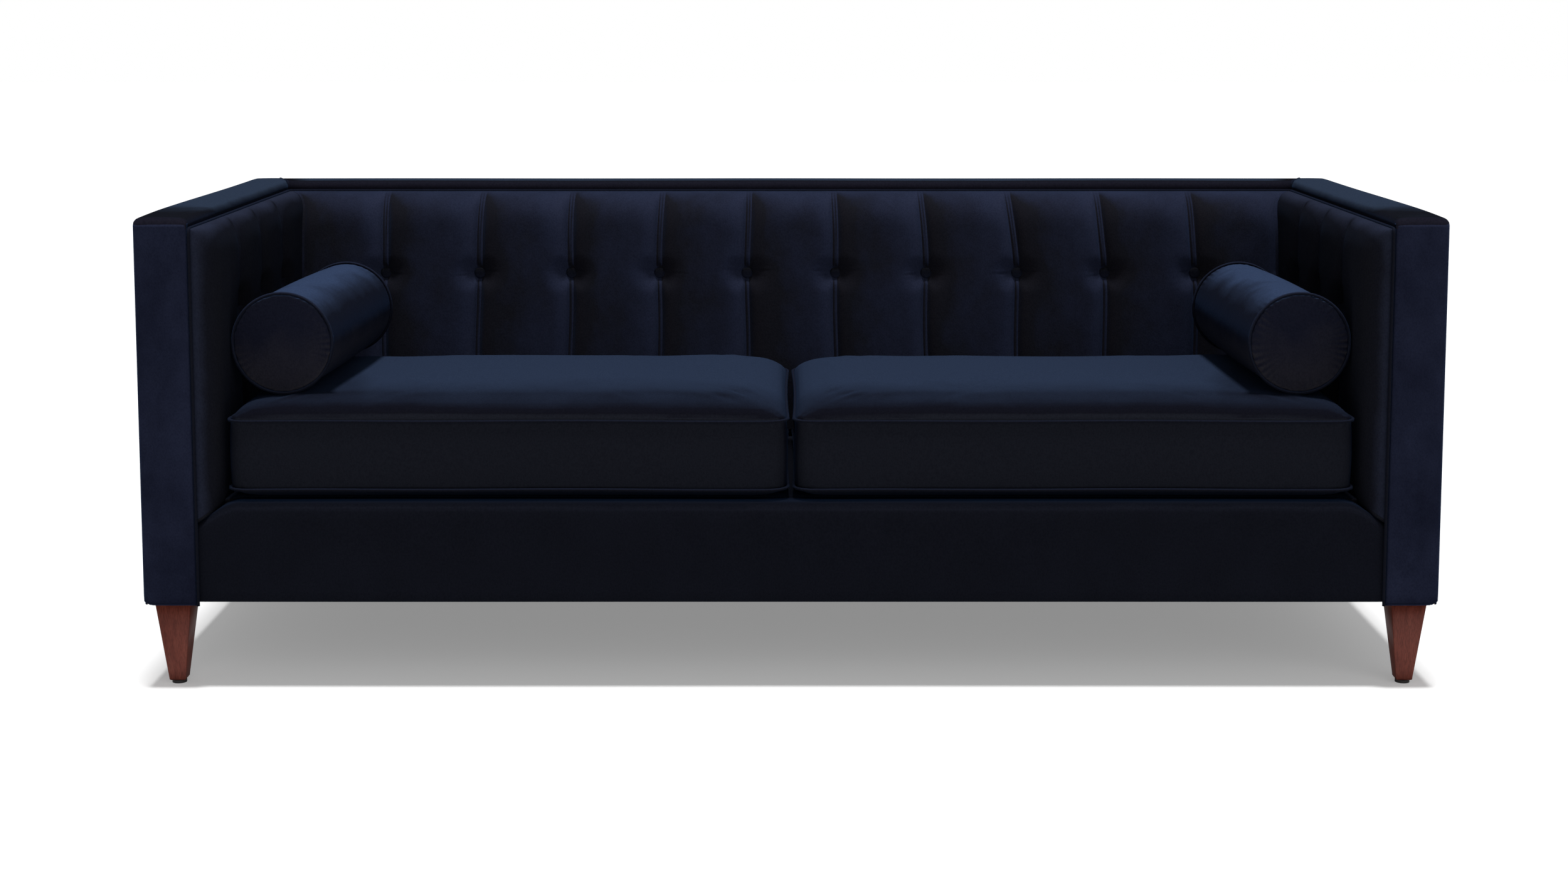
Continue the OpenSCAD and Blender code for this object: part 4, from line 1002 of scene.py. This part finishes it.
sim_frames = 20
cushion_w, cushion_d, cushion_x = 933.5 * mm, 620 * mm, 468.25 * mm
half_cx, half_cy = cushion_w / 2 - 4.4 * mm, cushion_d / 2 - 6.3 * mm
under_h, boxing_h, crown_h = 20 * mm, 114 * mm, 36 * mm
boxing_top = under_h + boxing_h
corner_r, side_pull, cover_play = 34 * mm, 4 * mm, 0.4 * mm
# Rings of the cover: how far in from the seams, as a share of half the depth, and the level, 1 at
# the lower seam and 2 at the upper one. Then those of the crown.
seat_rings = [(0.97, 0.0), (0.62, 0.0), (0.3, 0.02), (0.14, 0.16), (0.05, 0.48), (0.015, 0.8),
              (0, 1.0), (-0.006, 1.25), (-0.008, 1.5), (-0.006, 1.75)]
crown_rings = [0, 0.008, 0.02, 0.035, 0.055, 0.08, 0.11, 0.15, 0.2, 0.26, 0.33, 0.42, 0.54, 0.68,
               0.82, 0.97]


def crown_share(x, y):
    """How much of the crown's height the filling has at a place: a round shoulder all the way
    round the edge, and a long low dome on top of it."""
    inside = (half_cx - cover_play - np.abs(x), y + half_cy - cover_play, half_cy - cover_play - y)

    def swell(*limits):
        """Rises over a reach, to a sharpness, from the sides, the front and the back."""
        return math.prod((1 - (1 - np.clip(away / reach, 0, 1)) ** sharp) ** (1 / sharp)
                         for away, (reach, sharp) in zip(inside, limits))

    return 0.80 * swell((66 * mm, 2), (105 * mm, 2.2), (80 * mm, 2)) \
        + 0.20 * swell((180 * mm, 2), (240 * mm, 2), (160 * mm, 2))


def cushion_ring(share):
    """Points round the cover, a share of half its depth in from the seams."""
    inset = share * half_cy + cover_play
    return rounded_outline(half_cx - inset, half_cy - inset,
                           max(corner_r - inset, corner_r * 0.33), 128)


rings = [(cushion_ring(share), float(np.interp(level, [0, 1, 2], [0, under_h, boxing_top])))
         for share, level in seat_rings]
for share in crown_rings:
    points = cushion_ring(share)
    rings.append((points, boxing_top + crown_h * crown_share(*points.T)))
seat_place = {}
for side, sign in sides:
    seat_place[side] = (Matrix.Translation((sign * cushion_x, 0, 0)) @ deck_place
                        @ Matrix.Translation((0, 275 * mm, 0.3 * mm)))
    cushion = piece("seat_cushion_" + side, lofted(rings), cushion_velvet, "cushion_" + side)
    blown(cushion, 7 * mm, 2.0, 2.5 * mm, lambda x, y, z: (z < mm) | (
        (np.minimum(np.abs(z - under_h), np.abs(z - boxing_top)) < 5 * mm)
        & ((np.abs(x) > half_cx - 12 * mm) | (np.abs(y) > half_cy - 12 * mm))))
    wave = 0.6 if sign < 0 else 2.1
    shaped(cushion, lambda x, y, z: (0, 0, eased((z - boxing_top) / crown_h) * (
        1.6 * mm * np.sin(5.2 * x + wave) * np.sin(6.1 * y + 2 * wave)
        + 0.8 * mm * np.sin(13 * x + 9 * y + wave))), seat_place[side])
    smooth = cushion.modifiers.new("even", "SUBSURF")
    smooth.levels = smooth.render_levels = 1

# Welts of the seat cushions
# Velvet piping sewn into both seams of the boxing, all the way round.
for side, sign in sides:
    for k, z in enumerate((under_h, boxing_top)):
        points = rounded_outline(half_cx + 1.9 * mm, half_cy + 1.9 * mm, corner_r + 2 * mm, 200)
        route = [seat_place[side] @ Vector((x, y, z + 0.5 * mm * math.sin(0.21 * j)))
                 for j, (x, y) in enumerate(points)]
        piping(f"seat_welt_{side}_{('under', 'top')[k]}", route, welt_w, dark_welt_velvet,
               "cushion_" + side, [] if k else ["seat_welts_" + side], closed=True)

# Bolsters
# Two round bolsters, one lying against each arm: a fibre-wrapped core in a velvet tube with a
# round end sewn in at each end. The covers pucker where the ends are sewn in.
half_l, seam_r, barrel, end_dome = 255 * mm, 82.4 * mm, 3 * mm, 8 * mm
off_core = 2.7 * mm  # how far the cover's axis is from the core's, up and inward
tube_r = seam_r - 0.5 * mm
bolster_turn = {"left": -1.5, "right": 0.5}
outline = [(tube_r * s, -half_l - end_dome * (1 - s * s)) for s in np.linspace(0, 1, 14)]
outline += [(tube_r + barrel * (1 - s * s), half_l * s) for s in np.linspace(-1, 1, 42)[1:-1]]
outline += [(tube_r * s, half_l + end_dome * (1 - s * s)) for s in np.linspace(1, 0, 14)]


def gathered(x, y, z, much):
    """Small gathers on both sides of the end seams."""
    r, a = np.hypot(x, y), np.arctan2(y, x)
    end = half_l - np.abs(z)
    rise = much * np.sin(41 * a + 2.0 * np.sin(3 * a)) * (0.6 + 0.4 * np.sin(5 * a + 1))
    on_end = 1.1 * mm * rise * np.exp(-np.maximum(0, seam_r - r) / (13 * mm)) * (end < 3 * mm)
    on_side = 0.7 * mm * rise * np.exp(-np.maximum(0, end) / (16 * mm)) * (end >= 3 * mm)
    return on_side * np.cos(a), on_side * np.sin(a), on_end * np.sign(z)


bolster_place = {}
for side, sign in sides:
    low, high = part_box("bolster_" + side)
    bolster_place[side] = (
        Matrix.Translation((low + high) / 2 + Vector((-sign, 0, 1)) * off_core) @ deck_turn
        @ Matrix.Rotation(math.radians(bolster_turn[side]), 4, "Z")
        @ Matrix.Rotation(math.radians(-90), 4, "X"))
    bolster = piece("bolster_" + side, spun(outline, 96), bolster_velvet, "bolster_" + side)
    blown(bolster, 5 * mm, 3.0, 3 * mm, lambda x, y, z: (
        (np.abs(np.abs(z) - half_l) < 6 * mm) & (np.hypot(x, y) > seam_r - 8 * mm)))
    bolster.data.shade_smooth()
    bolster.modifiers.new("finer", "SUBSURF").levels = 1
    bolster.data = applied(bolster)
    much = 0.5 if sign < 0 else 1.0
    shaped(bolster, lambda x, y, z: gathered(x, y, z, much), bolster_place[side])

# Welts of the bolsters
# Velvet piping sewn in round both ends.
ring_r = seam_r + 1.6 * mm
for side, sign in sides:
    for end, where in ((-1, "front"), (1, "back")):
        route = [bolster_place[side] @ Vector((
            ring_r * math.cos(a), ring_r * math.sin(a),
            end * (half_l - 3 * mm + 0.4 * mm * math.sin(7 * a))))
            for a in np.linspace(0, 2 * math.pi, 96, endpoint=False)]
        piping(f"bolster_welt_{side}_{where}", route, welt_w, welt_velvet, "bolster_" + side,
               ["bolster_welts_" + side] if end < 0 else [], closed=True)
